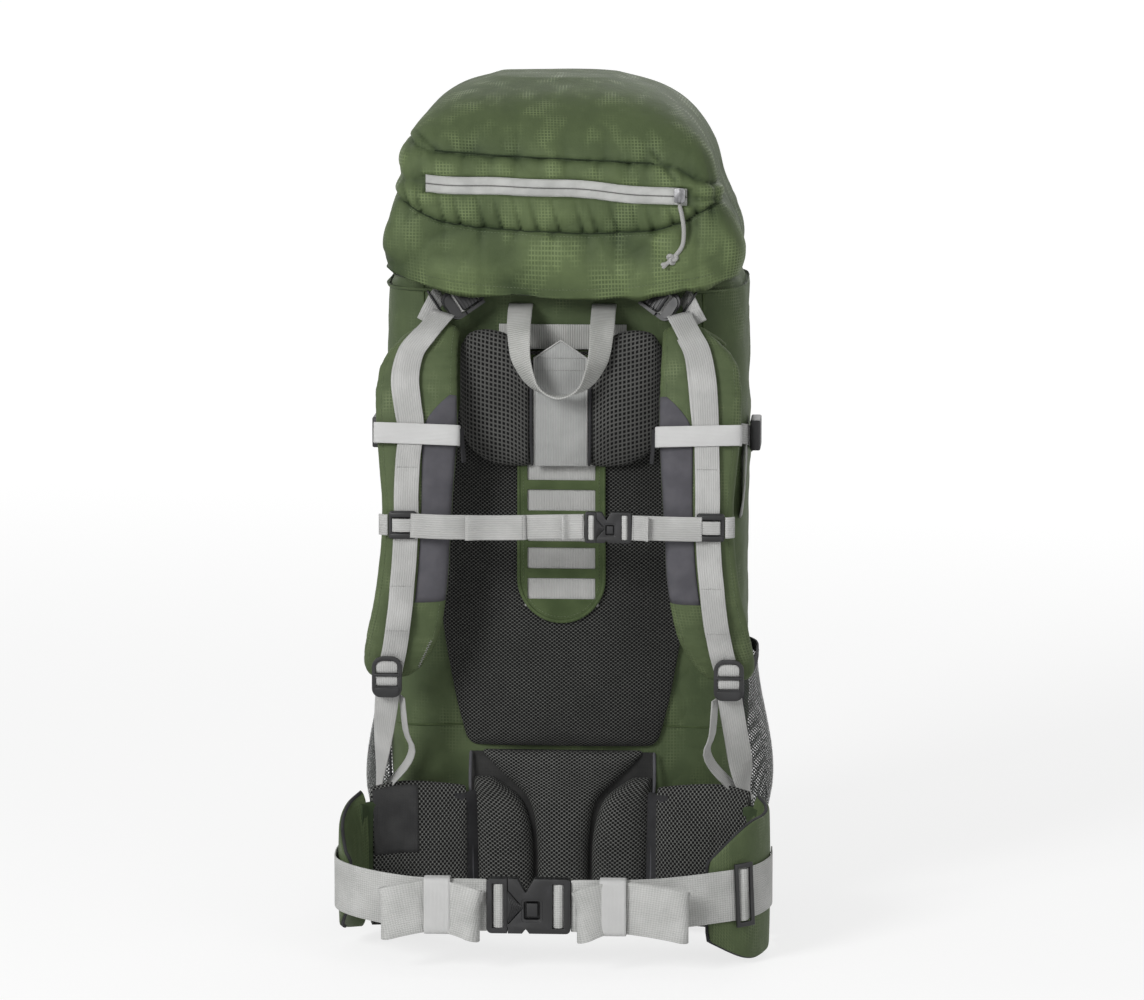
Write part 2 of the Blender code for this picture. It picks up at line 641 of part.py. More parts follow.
def make_strap(side, sign, green, webbing, elastic):
    frames = strap_frames(sign)
    stations = []
    for point, outward, half_width, share in frames:
        thick = STRAP_THICK * (0.5 + 0.5 * end_ease(share))
        stations.append((point, RIGHT, outward, half_width, thick))
    build(f"strap_pad_{side}", pad(stations), green)
    lift = STRAP_THICK / 2 + WEBBING_THICK / 2 + 4 * GAP
    lock_end = Vector((sign * LIFTER_LOCK.x, LIFTER_LOCK.y, LIFTER_LOCK.z))
    lock_end += Vector((sign * LIFTER_RUN.x, LIFTER_RUN.y, LIFTER_RUN.z)) * LOCK_HEIGHT * 0.66
    run = [lock_end]
    for point, outward, _, share in frames[4:-1]:
        shift = STRAP_WEBBING_SHIFT * min(1, 3 * (1 - share)) - LIFTER_LEAN * max(0, 1 - share / 0.42)
        run.append(point + outward * lift + RIGHT * sign * shift)
    build(f"strap_webbing_{side}", ribbon(run, STRAP_WEBBING, RIGHT), webbing)
    centre, outward = strap_front(sign, BAND_Z)
    down = outward.cross(RIGHT).normalized()
    rings = []
    for extra, end in ((0.0015, -1), (0.0015, 1), (0.0004, 1), (0.0004, -1)):
        loop = []
        half_width = BAND_HALF_WIDTH + extra
        front = STRAP_THICK / 2 + WEBBING_THICK + 6 * GAP + extra
        back = STRAP_THICK / 2 + 0.0008 + extra
        for step in range(16):
            angle = 2 * math.pi * (step + 0.5) / 16
            wide = signed_power(math.cos(angle), 2 / 6)
            deep = signed_power(math.sin(angle), 2 / 6)
            offset = outward * deep * (front if deep > 0 else back)
            loop.append(centre + RIGHT * wide * half_width + offset + down * end * BAND_HALF_HEIGHT)
        rings.append(loop)
    build(f"strap_band_{side}", loft(rings, closed=True), elastic)


def ladder_lock():
    """Moulded frame with three bars. It hangs down from the edge of its hinge bar, at the local origin."""
    half = LOCK_WIDTH / 2
    xs = (-half, -half + 0.0035, half - 0.0035, half)
    ys = (-LOCK_THICK, 0)
    zs = [LOCK_HEIGHT * share - LOCK_HEIGHT for share in (0, 0.14, 0.34, 0.46, 0.66, 0.88, 1)]
    return bricks(xs, ys, zs, lambda i, j, k: i == 1 and k in (1, 3, 4))


def make_locks(side, sign, plastic, webbing):
    centre, outward = strap_front(sign, LOCK_TOP_Z)
    lift = STRAP_THICK / 2 + WEBBING_THICK + 7 * GAP
    pivot = Vector((sign * STRAP_LOCK_X, centre.y + outward.y * lift - 0.002, LOCK_TOP_Z))
    build(f"strap_lock_{side}", placed(ladder_lock(), pivot), plastic, pivot)
    lock_foot = pivot + Vector((0, 0.0052, 0.006 - LOCK_HEIGHT))
    foot = Vector((sign * LOWER_FOOT.x, LOWER_FOOT.y, LOWER_FOOT.z))
    route = [lock_foot, lock_foot.lerp(foot, 0.5) + NEAR * 0.003, foot]
    build(f"lower_webbing_{side}", ribbon(smooth_path(route, 4), STRAP_WEBBING, RIGHT), webbing)
    run = Vector((sign * LIFTER_RUN.x, LIFTER_RUN.y, LIFTER_RUN.z))
    middle = Vector((sign * LIFTER_LOCK.x, LIFTER_LOCK.y, LIFTER_LOCK.z))
    hinge = middle - run * LOCK_HEIGHT * 0.47
    across = NEAR.cross(run)
    build(f"lifter_lock_{side}", placed(ladder_lock(), hinge, across, -run), plastic, hinge)


def make_sternum(webbing, plastic):
    centre, _ = strap_front(1, STERNUM_Z)
    face_y = centre.y - STRAP_THICK / 2 - WEBBING_THICK - 7 * GAP
    slider_thick = 0.0045
    run_y = face_y - slider_thick - GAP - WEBBING_THICK
    buckle = Vector((STERNUM_BUCKLE_X, run_y, STERNUM_Z))
    pivots = {}
    for side, sign in SIDES:
        xs = (-0.0135, -0.0100, 0.0100, 0.0135)
        zs = (-0.0135, -0.0100, -0.003, 0.003, 0.0100, 0.0135)
        plate = bricks(xs, (-slider_thick, 0), zs, lambda i, j, k: i == 1 and k in (1, 3))
        origin = Vector((sign * STERNUM_X, face_y, STERNUM_Z))
        build(f"sternum_slider_{side}", placed(plate, origin), plastic, origin)
        pivots[side] = Vector((sign * STERNUM_END_X, run_y, STERNUM_Z))
        stop = buckle + RIGHT * sign * (0.040 * STERNUM_BUCKLE_SCALE + GAP)
        strap = ribbon([pivots[side], stop], STRAP_WEBBING, UP)
        build(f"sternum_strap_{side}", strap, webbing, pivots[side])
    side_release("sternum_buckle", buckle, STERNUM_BUCKLE_SCALE, plastic, pivots)


def side_release(name, centre, scale, plastic, pivots):
    """Two halves of a side-release buckle. The tongue half is on the left, the socket half on the right."""
    ys = [scale * y for y in (-0.0060, -0.0035, 0.0035, 0.0060)]
    heights = [scale * z for z in (-0.0265, -0.0215, -0.0075, 0.0075, 0.0215, 0.0265)]
    xs = [scale * x for x in (0.0005, 0.0065, 0.0185, 0.0235, 0.0325, 0.0400)]

    def socket_hollow(i, j, k):
        cavity = i < 2 and j == 1 and 0 < k < 4
        side_window = i == 1 and j == 1 and k in (0, 4)
        front_window = i == 1 and j == 0 and k == 2
        webbing_slot = i == 3 and j > 0 and 0 < k < 4
        return cavity or side_window or front_window or webbing_slot

    socket = placed(bricks(xs, ys, heights, socket_hollow), centre)
    build(f"{name}_socket", socket, plastic, pivots["right"])
    tongue_ys = [scale * y for y in (-0.0060, -0.0028, 0.0028, 0.0060)]
    tongue_zs = [scale * z for z in (-0.0265, -0.0205, -0.0125, -0.0045, 0.0045, 0.0125, 0.0205, 0.0265)]
    tongue_xs = [scale * x for x in (-0.0400, -0.0325, -0.0235, -0.0005, 0.0165)]

    def tongue_hollow(i, j, k):
        beside_prongs = i == 3 and (j != 1 or k not in (1, 3, 5))
        webbing_slot = i == 1 and j > 0 and 0 < k < 6
        return beside_prongs or webbing_slot

    tongue = placed(bricks(tongue_xs, tongue_ys, tongue_zs, tongue_hollow), centre)
    build(f"{name}_tongue", tongue, plastic, pivots["left"])


def wing_skin(points, heights, sign, per_span, blunt_start, blunt_end):
    """Padded belt wing along its plan line. Its crowned face looks in, towards the wearer."""
    path = smooth_path([(sign * x, y, 0) for x, y in points], per_span)
    spans = smooth_path([(low, high, 0) for low, high in heights], per_span)
    stations = []
    for place, (point, forward, span) in enumerate(zip(path, tangents(path), spans)):
        share = place / (len(path) - 1)
        inward = forward.cross(UP).normalized() * sign
        ease = 1.0
        if not blunt_start:
            ease = min(ease, end_ease(share / 2))
        if not blunt_end:
            ease = min(ease, end_ease(1 - (1 - share) / 2))
        thick = WING_THICK * (0.45 + 0.55 * ease)
        centre = point + UP * (span.x + span.y) / 2
        stations.append((centre, UP, inward, (span.y - span.x) / 2, thick))
    return pad(stations)


def offset_plan(points, sign, distance):
    """Plan line moved out from a wing by one distance, square to the line."""
    path = [Vector((sign * x, y, 0)) for x, y in points]
    return [point + UP.cross(forward).normalized() * sign * distance
            for point, forward in zip(path, tangents(path))]


def belt_run(side, sign):
    """Path of the belt webbing from the outside of its wing tip to its bar on the buckle."""
    outside = offset_plan(TIP_POINTS[side], sign, WING_THICK / 2 + 0.0030)
    bar_x = HIP_BUCKLE.x + sign * BUCKLE_BAR_REACH
    front_y = HIP_BUCKLE.y + 0.0010
    join = BELT_JOINS[side]
    halfway = Vector(((join.x + bar_x) / 2, front_y + 0.003, 0))
    path = smooth_path(outside[1:] + [join, halfway, Vector((bar_x, front_y, 0))], 3)
    for place, point in enumerate(path):
        point.z = BELT_SIDE_Z + (BELT_FRONT_Z - BELT_SIDE_Z) * min(1, 1.35 * place / (len(path) - 1))
    return path


def run_depth(path, x):
    """How far forward the belt webbing is where it passes one x, read back from the buckle."""
    for start, stop in zip(reversed(path[:-1]), reversed(path)):
        if min(start.x, stop.x) <= x <= max(start.x, stop.x):
            share = (x - start.x) / (stop.x - start.x)
            return start.y + (stop.y - start.y) * share
    return path[-1].y


def slack_bow(side, sign, path):
    """Spare webbing that turns round the buckle's bar and lies in front of the belt in a flat bow."""
    middle_x = KEEPER_X[side]
    outer_x = middle_x + sign * BOW_OUTER[side]
    inner_x = path[-1].x + sign * 0.0035
    flat_y = min(point.y for point in path)

    def spot(x, layer, back=0.0):
        return Vector((x + sign * back, flat_y - BOW_LAYER * layer, BELT_FRONT_Z))

    route = [path[-1], spot(path[-1].x, 0.5, -0.0015), spot(path[-1].x, 1, 0.001), spot(middle_x, 1),
             spot(outer_x, 1.1, -0.014), spot(outer_x, 1.9), spot(outer_x, 2.8, -0.012), spot(middle_x, 2),
             spot(inner_x, 2.7, 0.010), spot(inner_x, 3.3), spot(inner_x, 3.8, 0.010),
             spot(middle_x, 3, -0.004)]
    return smooth_path(route, 3)[1:]


def make_belt(side, sign, mesh_fabric, green, webbing, elastic):
    pivot = Vector((sign * WING_HINGE.x, WING_HINGE.y, BELT_SIDE_Z))
    build(f"belt_wing_{side}", wing_skin(WING_POINTS, WING_LOW_HIGH, sign, 3, False, True), mesh_fabric)
    tip = wing_skin(TIP_POINTS[side], TIP_LOW_HIGH[side], sign, 3, True, False)
    build(f"belt_tip_{side}", tip, green, pivot)
    path = belt_run(side, sign)
    strip = ribbon(path + slack_bow(side, sign, path), BELT_WEBBING, UP)
    build(f"belt_webbing_{side}", strip, webbing, pivot)
    flat_y = min(point.y for point in path)
    back_y = run_depth(path, KEEPER_X[side] + sign * 0.0130)
    rings = []
    for extra, along in ((0.0014, -0.0125), (0.0014, 0.0125), (0.0, 0.0125), (0.0, -0.0125)):
        half_height = BELT_WEBBING / 2 + 0.0012 + extra
        near_y = flat_y - BOW_LAYER * 3 - 0.0022 - extra
        far_y = back_y + 0.0018 + extra
        x = KEEPER_X[side] + along
        rings.append([Vector((x, y, BELT_FRONT_Z + rise * half_height))
                      for y, rise in ((near_y, -1), (near_y, 1), (far_y, 1), (far_y, -1))])
    build(f"belt_keeper_{side}", loft(rings, closed=True), elastic, pivot)
    return path, pivot


def make_triglide(path, pivot, plastic):
    """Flat frame on the right run of belt webbing."""
    spot = min(path, key=lambda point: abs(point.x - 0.180) + abs(point.y + 0.276))
    place = path.index(spot)
    forward = (path[place + 1] - path[place - 1]).normalized()
    outward = UP.cross(forward).normalized()
    xs = (-0.010, -0.0065, -0.002, 0.002, 0.0065, 0.010)
    zs = (-0.031, -0.0265, 0.0265, 0.031)
    frame = bricks(xs, (-0.0036, 0), zs, lambda i, j, k: k == 1 and i in (1, 3))
    origin = spot + outward * 0.0022
    build("belt_triglide", placed(frame, origin, -forward), plastic, pivot)


def main():
    for thing in list(bpy.data.objects):
        bpy.data.objects.remove(thing, do_unlink=True)
    green = finish("green_ripstop", (0.080, 0.150, 0.045), 0.75)
    dark_green = finish("dark_green_nylon", (0.045, 0.080, 0.028), 0.75)
    mesh_fabric = finish("spacer_mesh", (0.035, 0.036, 0.035), 0.9)
    net = finish("pocket_net", (0.045, 0.050, 0.045), 0.9)
    webbing = finish("grey_webbing", (0.50, 0.50, 0.49), 0.8)
    elastic = finish("pale_elastic", (0.68, 0.68, 0.67), 0.8)
    plastic = finish("black_plastic", (0.025, 0.025, 0.028), 0.45)
    base_cloth = finish("black_base_cloth", (0.030, 0.030, 0.030), 0.85)
    zip_grey = finish("zip_tape_grey", (0.42, 0.42, 0.42), 0.7)
    metal = finish("slider_metal", (0.50, 0.50, 0.50), 0.4, 0.9)
    cord = finish("pull_cord", (0.55, 0.55, 0.54), 0.8)
    aluminium = finish("frame_aluminium", (0.70, 0.70, 0.71), 0.35, 1.0)
    sheet = finish("frame_plastic", (0.05, 0.05, 0.05), 0.6)
    make_bag(green, dark_green, base_cloth)
    make_frame(sheet, aluminium)
    make_back_panel(mesh_fabric, green, webbing)
    make_lid(green, dark_green, zip_grey, webbing, plastic)
    make_zip_pull(metal, cord)
    make_haul_loop(webbing)
    make_yoke(mesh_fabric, webbing)
    make_sternum(webbing, plastic)
    belt_pivots = {}
    for side, sign in SIDES:
        make_side_pocket(f"side_pocket_{side}", sign, net)
        make_compression(side, sign, webbing, plastic)
        make_strap(side, sign, green, webbing, elastic)
        make_locks(side, sign, plastic, webbing)
        path, pivot = make_belt(side, sign, mesh_fabric, green, webbing, elastic)
        belt_pivots[side] = pivot
    make_triglide(path, pivot, plastic)
    side_release("hip_buckle", HIP_BUCKLE, 1.0, plastic, belt_pivots)


main()
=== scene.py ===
"""Looks of the hiking backpack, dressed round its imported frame. Units are metres, the harness faces -Y."""
import math

import bmesh
import bpy
from mathutils import Matrix, Vector, noise


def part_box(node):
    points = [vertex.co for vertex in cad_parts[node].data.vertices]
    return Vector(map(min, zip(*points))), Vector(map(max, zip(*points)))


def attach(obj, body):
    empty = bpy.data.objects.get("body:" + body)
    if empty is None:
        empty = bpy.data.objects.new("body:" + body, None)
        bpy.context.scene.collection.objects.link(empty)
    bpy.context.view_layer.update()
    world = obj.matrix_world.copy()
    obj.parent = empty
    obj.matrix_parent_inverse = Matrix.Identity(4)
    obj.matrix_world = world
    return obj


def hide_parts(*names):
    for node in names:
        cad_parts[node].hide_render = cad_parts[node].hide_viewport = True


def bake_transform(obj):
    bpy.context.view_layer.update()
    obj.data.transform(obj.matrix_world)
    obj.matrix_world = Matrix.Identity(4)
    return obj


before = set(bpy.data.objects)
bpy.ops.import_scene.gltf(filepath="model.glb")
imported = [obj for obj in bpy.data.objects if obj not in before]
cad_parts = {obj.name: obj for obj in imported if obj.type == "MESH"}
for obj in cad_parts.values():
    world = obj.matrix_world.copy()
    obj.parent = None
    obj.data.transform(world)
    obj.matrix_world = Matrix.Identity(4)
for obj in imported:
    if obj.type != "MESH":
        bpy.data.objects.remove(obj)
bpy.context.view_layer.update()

SIDES = (("left", -1), ("right", 1))
RIGHT = Vector((1, 0, 0))
UP = Vector((0, 0, 1))
NEAR = Vector((0, -1, 0))

# Camera, as the photograph was taken
VIEW_AZIMUTH = math.radians(3.5)
VIEW_ELEVATION = math.radians(8.5)
VIEW_DISTANCE = 6.0
VIEW_TARGET = Vector((0, -0.05, 0.42))
VIEW_LENS = 191.4
VIEW_SHIFT = (0.0044, -0.0028)
FLOOR_SIZE = 120.0

# Bag: (height, half width, far side)
BAG_LEVELS = ((0.0103, 0.152, 0.105), (0.030, 0.164, 0.116), (0.100, 0.174, 0.123), (0.300, 0.178, 0.125),
              (0.600, 0.178, 0.125), (0.632, 0.174, 0.122), (0.645, 0.166, 0.118), (0.655, 0.158, 0.113))
BAG_NEAR_Y = -0.115
BAG_NEAR_POWER = 5.0
BAG_FAR_POWER = 3.6
BAG_WALL = 0.003
SIDE_SEAM_Z = 0.2030
WELT_RADIUS = 0.0011
WELT_LIFT = 0.0004
# Laps of the base cloth, from under the bag up to its hem: (height, how far inside the bag's outline)
BASE_LAPS = ((0.0, 0.016), (0.0010, 0.006), (0.0040, 0.0018), (0.0103, -0.0010), (0.020, -0.0014),
             (0.030, -0.0014), (0.042, -0.0014), (0.0426, -0.0004), (0.0420, 0.0010))
COLLAR_TOP_Z = 0.690
COLLAR_DRAWN_IN = 0.030
COLLAR_GATHERS = 34
COLLAR_GATHER_DEPTH = 0.0030
COLLAR_WALL = 0.0015

# Lid, hem to crown: (height, half width, near side, far side, squareness of the near side, middle)
LID_LEVELS = ((0.651, 0.1715, -0.150, 0.136, 14, -0.0015), (0.676, 0.1750, -0.1555, 0.140, 14, -0.0020),
              (0.705, 0.1665, -0.157, 0.140, 14, -0.0015), (0.735, 0.1550, -0.156, 0.138, 14, -0.0030),
              (0.768, 0.1480, -0.151, 0.134, 12, -0.0050), (0.798, 0.1310, -0.130, 0.122, 7, -0.0080),
              (0.820, 0.1040, -0.098, 0.100, 4.5, -0.0110), (0.834, 0.0620, -0.052, 0.060, 3.2, -0.0120))
LID_FAR_POWER = 3.6
HEM_Z = LID_LEVELS[0][0]
HEM_DROOP = 0.023
# Inner face of the lid's skirt, from its top to the hem: (height, how far inside)
LID_LINING = ((0.699, 0.0130), (0.682, 0.0100), (0.668, 0.0065), (0.658, 0.0055), (0.653, 0.0040))
LID_FLOOR_Z = 0.700
# Lid floor, its under side and then its upper side: (share of its reach, how far it sags)
LID_FLOOR_SAG = ((0.05, 0.0035), (0.3, 0.0030), (0.6, 0.0018), (0.85, 0.0006), (1.0, 0.0), (1.0, -0.0012),
                 (0.85, -0.0006), (0.6, 0.0006), (0.3, 0.0018), (0.05, 0.0023))
HINGE_CLOTH_WIDTH = 0.124
UPPER_SEAM = ((-0.170, 0.792), (-0.140, 0.776), (-0.126, 0.771), (-0.06, 0.7665), (0.02, 0.763),
              (0.086, 0.760), (0.112, 0.756), (0.128, 0.746), (0.170, 0.735))
LOWER_SEAM = ((-0.170, 0.731), (-0.150, 0.721), (-0.135, 0.711), (-0.115, 0.7025), (-0.08, 0.697),
              (-0.03, 0.694), (0.03, 0.6915), (0.09, 0.695), (0.12, 0.704), (0.145, 0.719), (0.170, 0.731))
# Darts and side seams of the lid's pocket: ((x, z), (x, z), depth)
LID_DARTS = (((-0.142, 0.788), (-0.116, 0.7705), 0.0040), ((0.088, 0.772), (0.1115, 0.7430), 0.0044),
             ((-0.1345, 0.779), (-0.1385, 0.7085), 0.0034), ((0.1310, 0.748), (0.1330, 0.642), 0.0032))
ZIP_MIDDLE = Vector((-0.004, -0.156, 0.7345))
ZIP_SLOPE = math.tan(math.radians(2.8))
ZIP_HALF_LENGTH = 0.126
ZIP_FACE_Y = -0.1550
# Half of the zip tape's section, from its closing line: (height, how far it stands out)
ZIP_SECTION = ((0.0, 0.0), (0.0006, 0.0006), (0.0016, 0.0007), (0.0036, 0.0004), (0.0060, 0.0003),
               (0.0085, 0.0), (0.0085, -0.0012))
ZIP_PRESSED_IN = 0.0026
# Room that the skirt leaves over the lifter buckles, and how far out they are
BUCKLE_ROOM = 0.0045
BUCKLE_X = 0.098
PULL_DIAMETER = 0.0042
KNOT_SIZE = 0.0015
KNOT_RADIUS = 0.0019
PULL_STEPS = ((0, -0.0012, -0.0035), (0.003, -0.0030, -0.016), (0.0045, -0.0032, -0.030),
              (0.003, -0.0032, -0.043), (-0.003, -0.0032, -0.052), (-0.010, -0.0032, -0.059))

# Webbing
STRAP_WEBBING = 0.0238
BELT_WEBBING = 0.050
SIDE_WEBBING = 0.020
WEBBING_THICK = 0.0016
THIN_WEBBING = 0.0014

# How far a cutting block reaches past the piece that it cuts
THROUGH = 0.01


# Finishes

RIPSTOP_PITCH = 0.0032


def srgb(red, green, blue):
    """Shader colour from the 0 to 255 values of a swatch."""
    shares = [value / 255 for value in (red, green, blue)]
    linear = [share / 12.92 if share <= 0.04045 else ((share + 0.055) / 1.055) ** 2.4 for share in shares]
    return (*linear, 1.0)


class Wire:
    """One number of a shader. Arithmetic on wires adds Math nodes."""

    def __init__(self, finish, socket):
        self.finish = finish
        self.socket = socket

    def math(self, operation, *values):
        return self.finish.node("ShaderNodeMath", {"operation": operation}, values)

    def __add__(self, other):
        return self.math("ADD", self, other)

    __radd__ = __add__

    def __sub__(self, other):
        return self.math("SUBTRACT", self, other)

    def __rsub__(self, other):
        return self.math("SUBTRACT", other, self)

    def __mul__(self, other):
        return self.math("MULTIPLY", self, other)

    __rmul__ = __mul__

    def __truediv__(self, other):
        return self.math("DIVIDE", self, other)

    def __pow__(self, other):
        return self.math("POWER", self, other)

    def near_whole(self):
        """Distance to the nearest whole number, from 0 to 0.5."""
        return self.math("PINGPONG", self, 0.5)

    def step(self, low, high):
        """Rises smoothly from 0 at low to 1 at high."""
        return self.finish.node("ShaderNodeMapRange", {"interpolation_type": "SMOOTHSTEP"},
                                {"Value": self, "From Min": low, "From Max": high})

    def larger(self, other):
        return self.math("MAXIMUM", self, other)

    def smaller(self, other):
        return self.math("MINIMUM", self, other)

    def wave(self, pitch):
        """Rounded ribs, from 0 to 1, one for each pitch."""
        return self.math("SINE", self * (2 * math.pi / pitch)) * 0.5 + 0.5


class Finish:
    """One procedural material. Constants go straight on the shader's sockets."""

    def __init__(self, name, **constants):
        self.material = bpy.data.materials.new(name)
        self.material.use_nodes = True
        self.tree = self.material.node_tree
        self.shader = self.tree.nodes["Principled BSDF"]
        for socket, value in constants.items():
            self.shader.inputs[socket.replace("_", " ")].default_value = value

    def node(self, kind, settings=None, values=(), output=0):
        """Add a node with its settings, then the values or wires of its sockets, by place or by name."""
        made = self.tree.nodes.new(kind)
        for key, value in (settings or {}).items():
            setattr(made, key, value)
        for key, value in values.items() if isinstance(values, dict) else enumerate(values):
            self.feed(made.inputs[key], value)
        return Wire(self, made.outputs[output])

    def feed(self, socket, value):
        if isinstance(value, Wire):
            self.tree.links.new(value.socket, socket)
        else:
            socket.default_value = value

    def metres(self):
        """Place on the cloth, across and along, in metres."""
        cloth = self.node("ShaderNodeUVMap", {"uv_map": "cloth"})
        parts = self.node("ShaderNodeSeparateXYZ", {}, [cloth]).socket.node
        return Wire(self, parts.outputs[0]), Wire(self, parts.outputs[1])

    def noise(self, scale, detail=2.0):
        place = self.node("ShaderNodeTexCoord", output="Object")
        return self.node("ShaderNodeTexNoise", {}, {"Vector": place, "Scale": scale, "Detail": detail})

    def mix(self, share, first, second):
        return self.node("ShaderNodeMix", {"data_type": "RGBA"}, {0: share, 6: first, 7: second}, output=2)

    def wear(self, colour=None, roughness=None, height=None, depth=0.0004, strength=0.8):
        """Feed what varies over the surface to the shader, and give back the material."""
        if colour is not None:
            self.feed(self.shader.inputs["Base Color"], colour)
        if roughness is not None:
            self.feed(self.shader.inputs["Roughness"], roughness)
        if height is not None:
            bump = self.node("ShaderNodeBump", {},
                             {"Strength": strength, "Distance": depth, "Height": height})
            self.feed(self.shader.inputs["Normal"], bump)
        return self.material


def ripstop(name, dark, light, lines):
    """Coated cloth with a grid of thicker threads. Painted highlights show its grid in patches; painted
    shade darkens its folds.
    """
    finish = Finish(name, Specular_IOR_Level=0.28)
    u, v = finish.metres()
    fold_shade = finish.node("ShaderNodeAttribute", {"attribute_name": "fold_shade"}, output="Fac")
    across = 1 - (u / RIPSTOP_PITCH).near_whole().step(0.10, 0.24)
    along = 1 - (v / RIPSTOP_PITCH).near_whole().step(0.10, 0.24)
    grid = across.larger(along)
    place = finish.node("ShaderNodeTexCoord", output="Object")
    streak = finish.node("ShaderNodeVectorMath", {"operation": "MULTIPLY"}, [place, (1.6, 1.6, 0.8)])
    shine = finish.node("ShaderNodeTexNoise", {}, {"Vector": streak, "Scale": 27.0, "Detail": 3.0})
    # Patches of painted highlight, a few more of them on the ridges of folds
    sheen = (shine + fold_shade * 0.10).step(0.46, 0.74)
    cloudy = finish.noise(60, 5).step(0.25, 0.75)
    # Painted shade from the fold attribute: darker in the valleys of folds, lighter on their ridges. The
    # sheen patches paint highlights on the grid lines.
    shade = 0.31 + fold_shade * 0.30 + (cloudy - 0.5) * 0.10 + sheen * (grid * lines - 0.06)
    weave = u.wave(0.0007) * v.wave(0.0007)
    colour = finish.mix(shade.smaller(1.0).larger(0.0), dark, light)
    height = grid * sheen * 0.5 + weave * 0.25 + finish.noise(190, 4) * 1.2
    return finish.wear(colour, 0.66 - grid * sheen * 0.16, height, 0.0006, 0.6)


def plain_cloth(name, dark, light, pitch=0.0011):
    """Close plain weave."""
    finish = Finish(name, Specular_IOR_Level=0.25)
    u, v = finish.metres()
    weave = u.wave(pitch) * 0.5 + v.wave(pitch) * 0.5
    cloudy = finish.noise(45, 4).step(0.25, 0.75)
    colour = finish.mix(cloudy * 0.7 + weave * 0.3, dark, light)
    return finish.wear(colour, 0.85 - cloudy * 0.08, weave + finish.noise(160) * 0.8, 0.0004, 0.6)


def spacer_mesh(name, hole, thread, pitch, rise, size, square=False):
    """Knitted mesh: dark holes between raised threads, staggered, or in square order."""
    finish = Finish(name, Specular_IOR_Level=0.25)
    u, v = finish.metres()
    wide = (u / pitch).near_whole()
    tall = (v / rise).near_whole()
    if square:
        open_part = 1 - wide.larger(tall).step(size - 0.05, size + 0.05)
    else:
        first = wide ** 2.0 + (tall * (rise / pitch)) ** 2.0
        second = (0.5 - wide) ** 2.0 + ((0.5 - tall) * (rise / pitch)) ** 2.0
        open_part = 1 - first.smaller(second).step((size - 0.05) ** 2, (size + 0.06) ** 2)
    cloudy = finish.noise(26, 3).step(0.25, 0.75)
    threads = finish.mix(cloudy * 0.8 + u.wave(0.0006) * 0.2, [c * 0.72 for c in thread[:3]] + [1], thread)
    colour = finish.mix(open_part, threads, hole)
    height = 1 - open_part + v.wave(0.0007) * 0.12
    return finish.wear(colour, 0.72 + open_part * 0.25, height, 0.0009, 0.9)


def net(name, colour):
    """Stretch net that shows what is behind it through its holes."""
    finish = Finish(name, Base_Color=colour, Roughness=0.8)
    u, v = finish.metres()
    wide = (u / 0.0046).near_whole()
    tall = (v / 0.0036).near_whole()
    first = wide ** 2.0 + tall ** 2.0
    second = (0.5 - wide) ** 2.0 + (0.5 - tall) ** 2.0
    thread = first.smaller(second).step(0.075, 0.105)
    finish.feed(finish.shader.inputs["Alpha"], thread)
    shade = finish.mix(finish.noise(60).step(0.3, 0.7), colour, [c * 1.8 for c in colour[:3]] + [1])
    return finish.wear(shade, None, thread, 0.0006)


def webbing(name, dark, light, along=0.0022, across=0.0011, cross=0.45):
    """Woven tape with ribs along it and finer ridges across it."""
    finish = Finish(name, Sheen_Weight=0.10, Sheen_Roughness=0.5)
    u, v = finish.metres()
    ribs = u.wave(along)
    cross_ribs = v.wave(across)
    height = ribs * (1 - cross) + cross_ribs * cross
    soil = finish.noise(30, 4).step(0.30, 0.75)
    colour = finish.mix(height * 0.55 + soil * 0.45, dark, light)
    return finish.wear(colour, 0.82 - ribs * 0.12, height + finish.noise(300) * 0.25, 0.0005, 0.8)


def moulded(name, dark, light, roughness=0.42):
    """Moulded plastic with a faint grain and rubbed, paler places."""
    finish = Finish(name, Specular_IOR_Level=0.5)
    rubbed = finish.noise(55, 5).step(0.42, 0.8)
    grain = finish.noise(1400, 2)
    return finish.wear(finish.mix(rubbed, dark, light), roughness + rubbed * 0.12, grain, 0.0001, 0.35)


def metal(name, dark, light, roughness):
    """Cast or drawn metal, slightly clouded."""
    finish = Finish(name, Metallic=1.0)
    cloudy = finish.noise(120, 5).step(0.3, 0.75)
    colour = finish.mix(cloudy, dark, light)
    return finish.wear(colour, roughness + cloudy * 0.15, finish.noise(500, 3), 0.0002, 0.4)


def braid(name, dark, light):
    """Braided cord: strands that cross on a slant."""
    finish = Finish(name, Sheen_Weight=0.15)
    u, v = finish.metres()
    strands = (u + v).wave(0.0016) * 0.5 + (u - v).wave(0.0016) * 0.5
    return finish.wear(finish.mix(strands, dark, light), 0.85 - strands * 0.1, strands, 0.0004, 0.9)


def zip_cloth(name, dark, light):
    """Zip tape: close ribs along it, and the dark line where its two sides meet."""
    finish = Finish(name, Sheen_Weight=0.05)
    u, v = finish.metres()
    meeting = 1 - (u * u).step(0.00000016, 0.00000050)
    ticks = v.wave(0.0013) * (1 - (u * u).step(0.0000020, 0.0000036))
    ribs = u.wave(0.0012)
    soil = finish.noise(50, 3).step(0.3, 0.7)
    tone = 0.55 + ribs * 0.15 + soil * 0.25 - ticks * 0.22 - meeting * 0.9
    colour = finish.mix(tone.larger(0.0), dark, light)
    return finish.wear(colour, 0.75 - ribs * 0.1, ribs * 0.4 + ticks * 0.6 - meeting, 0.0004, 0.8)


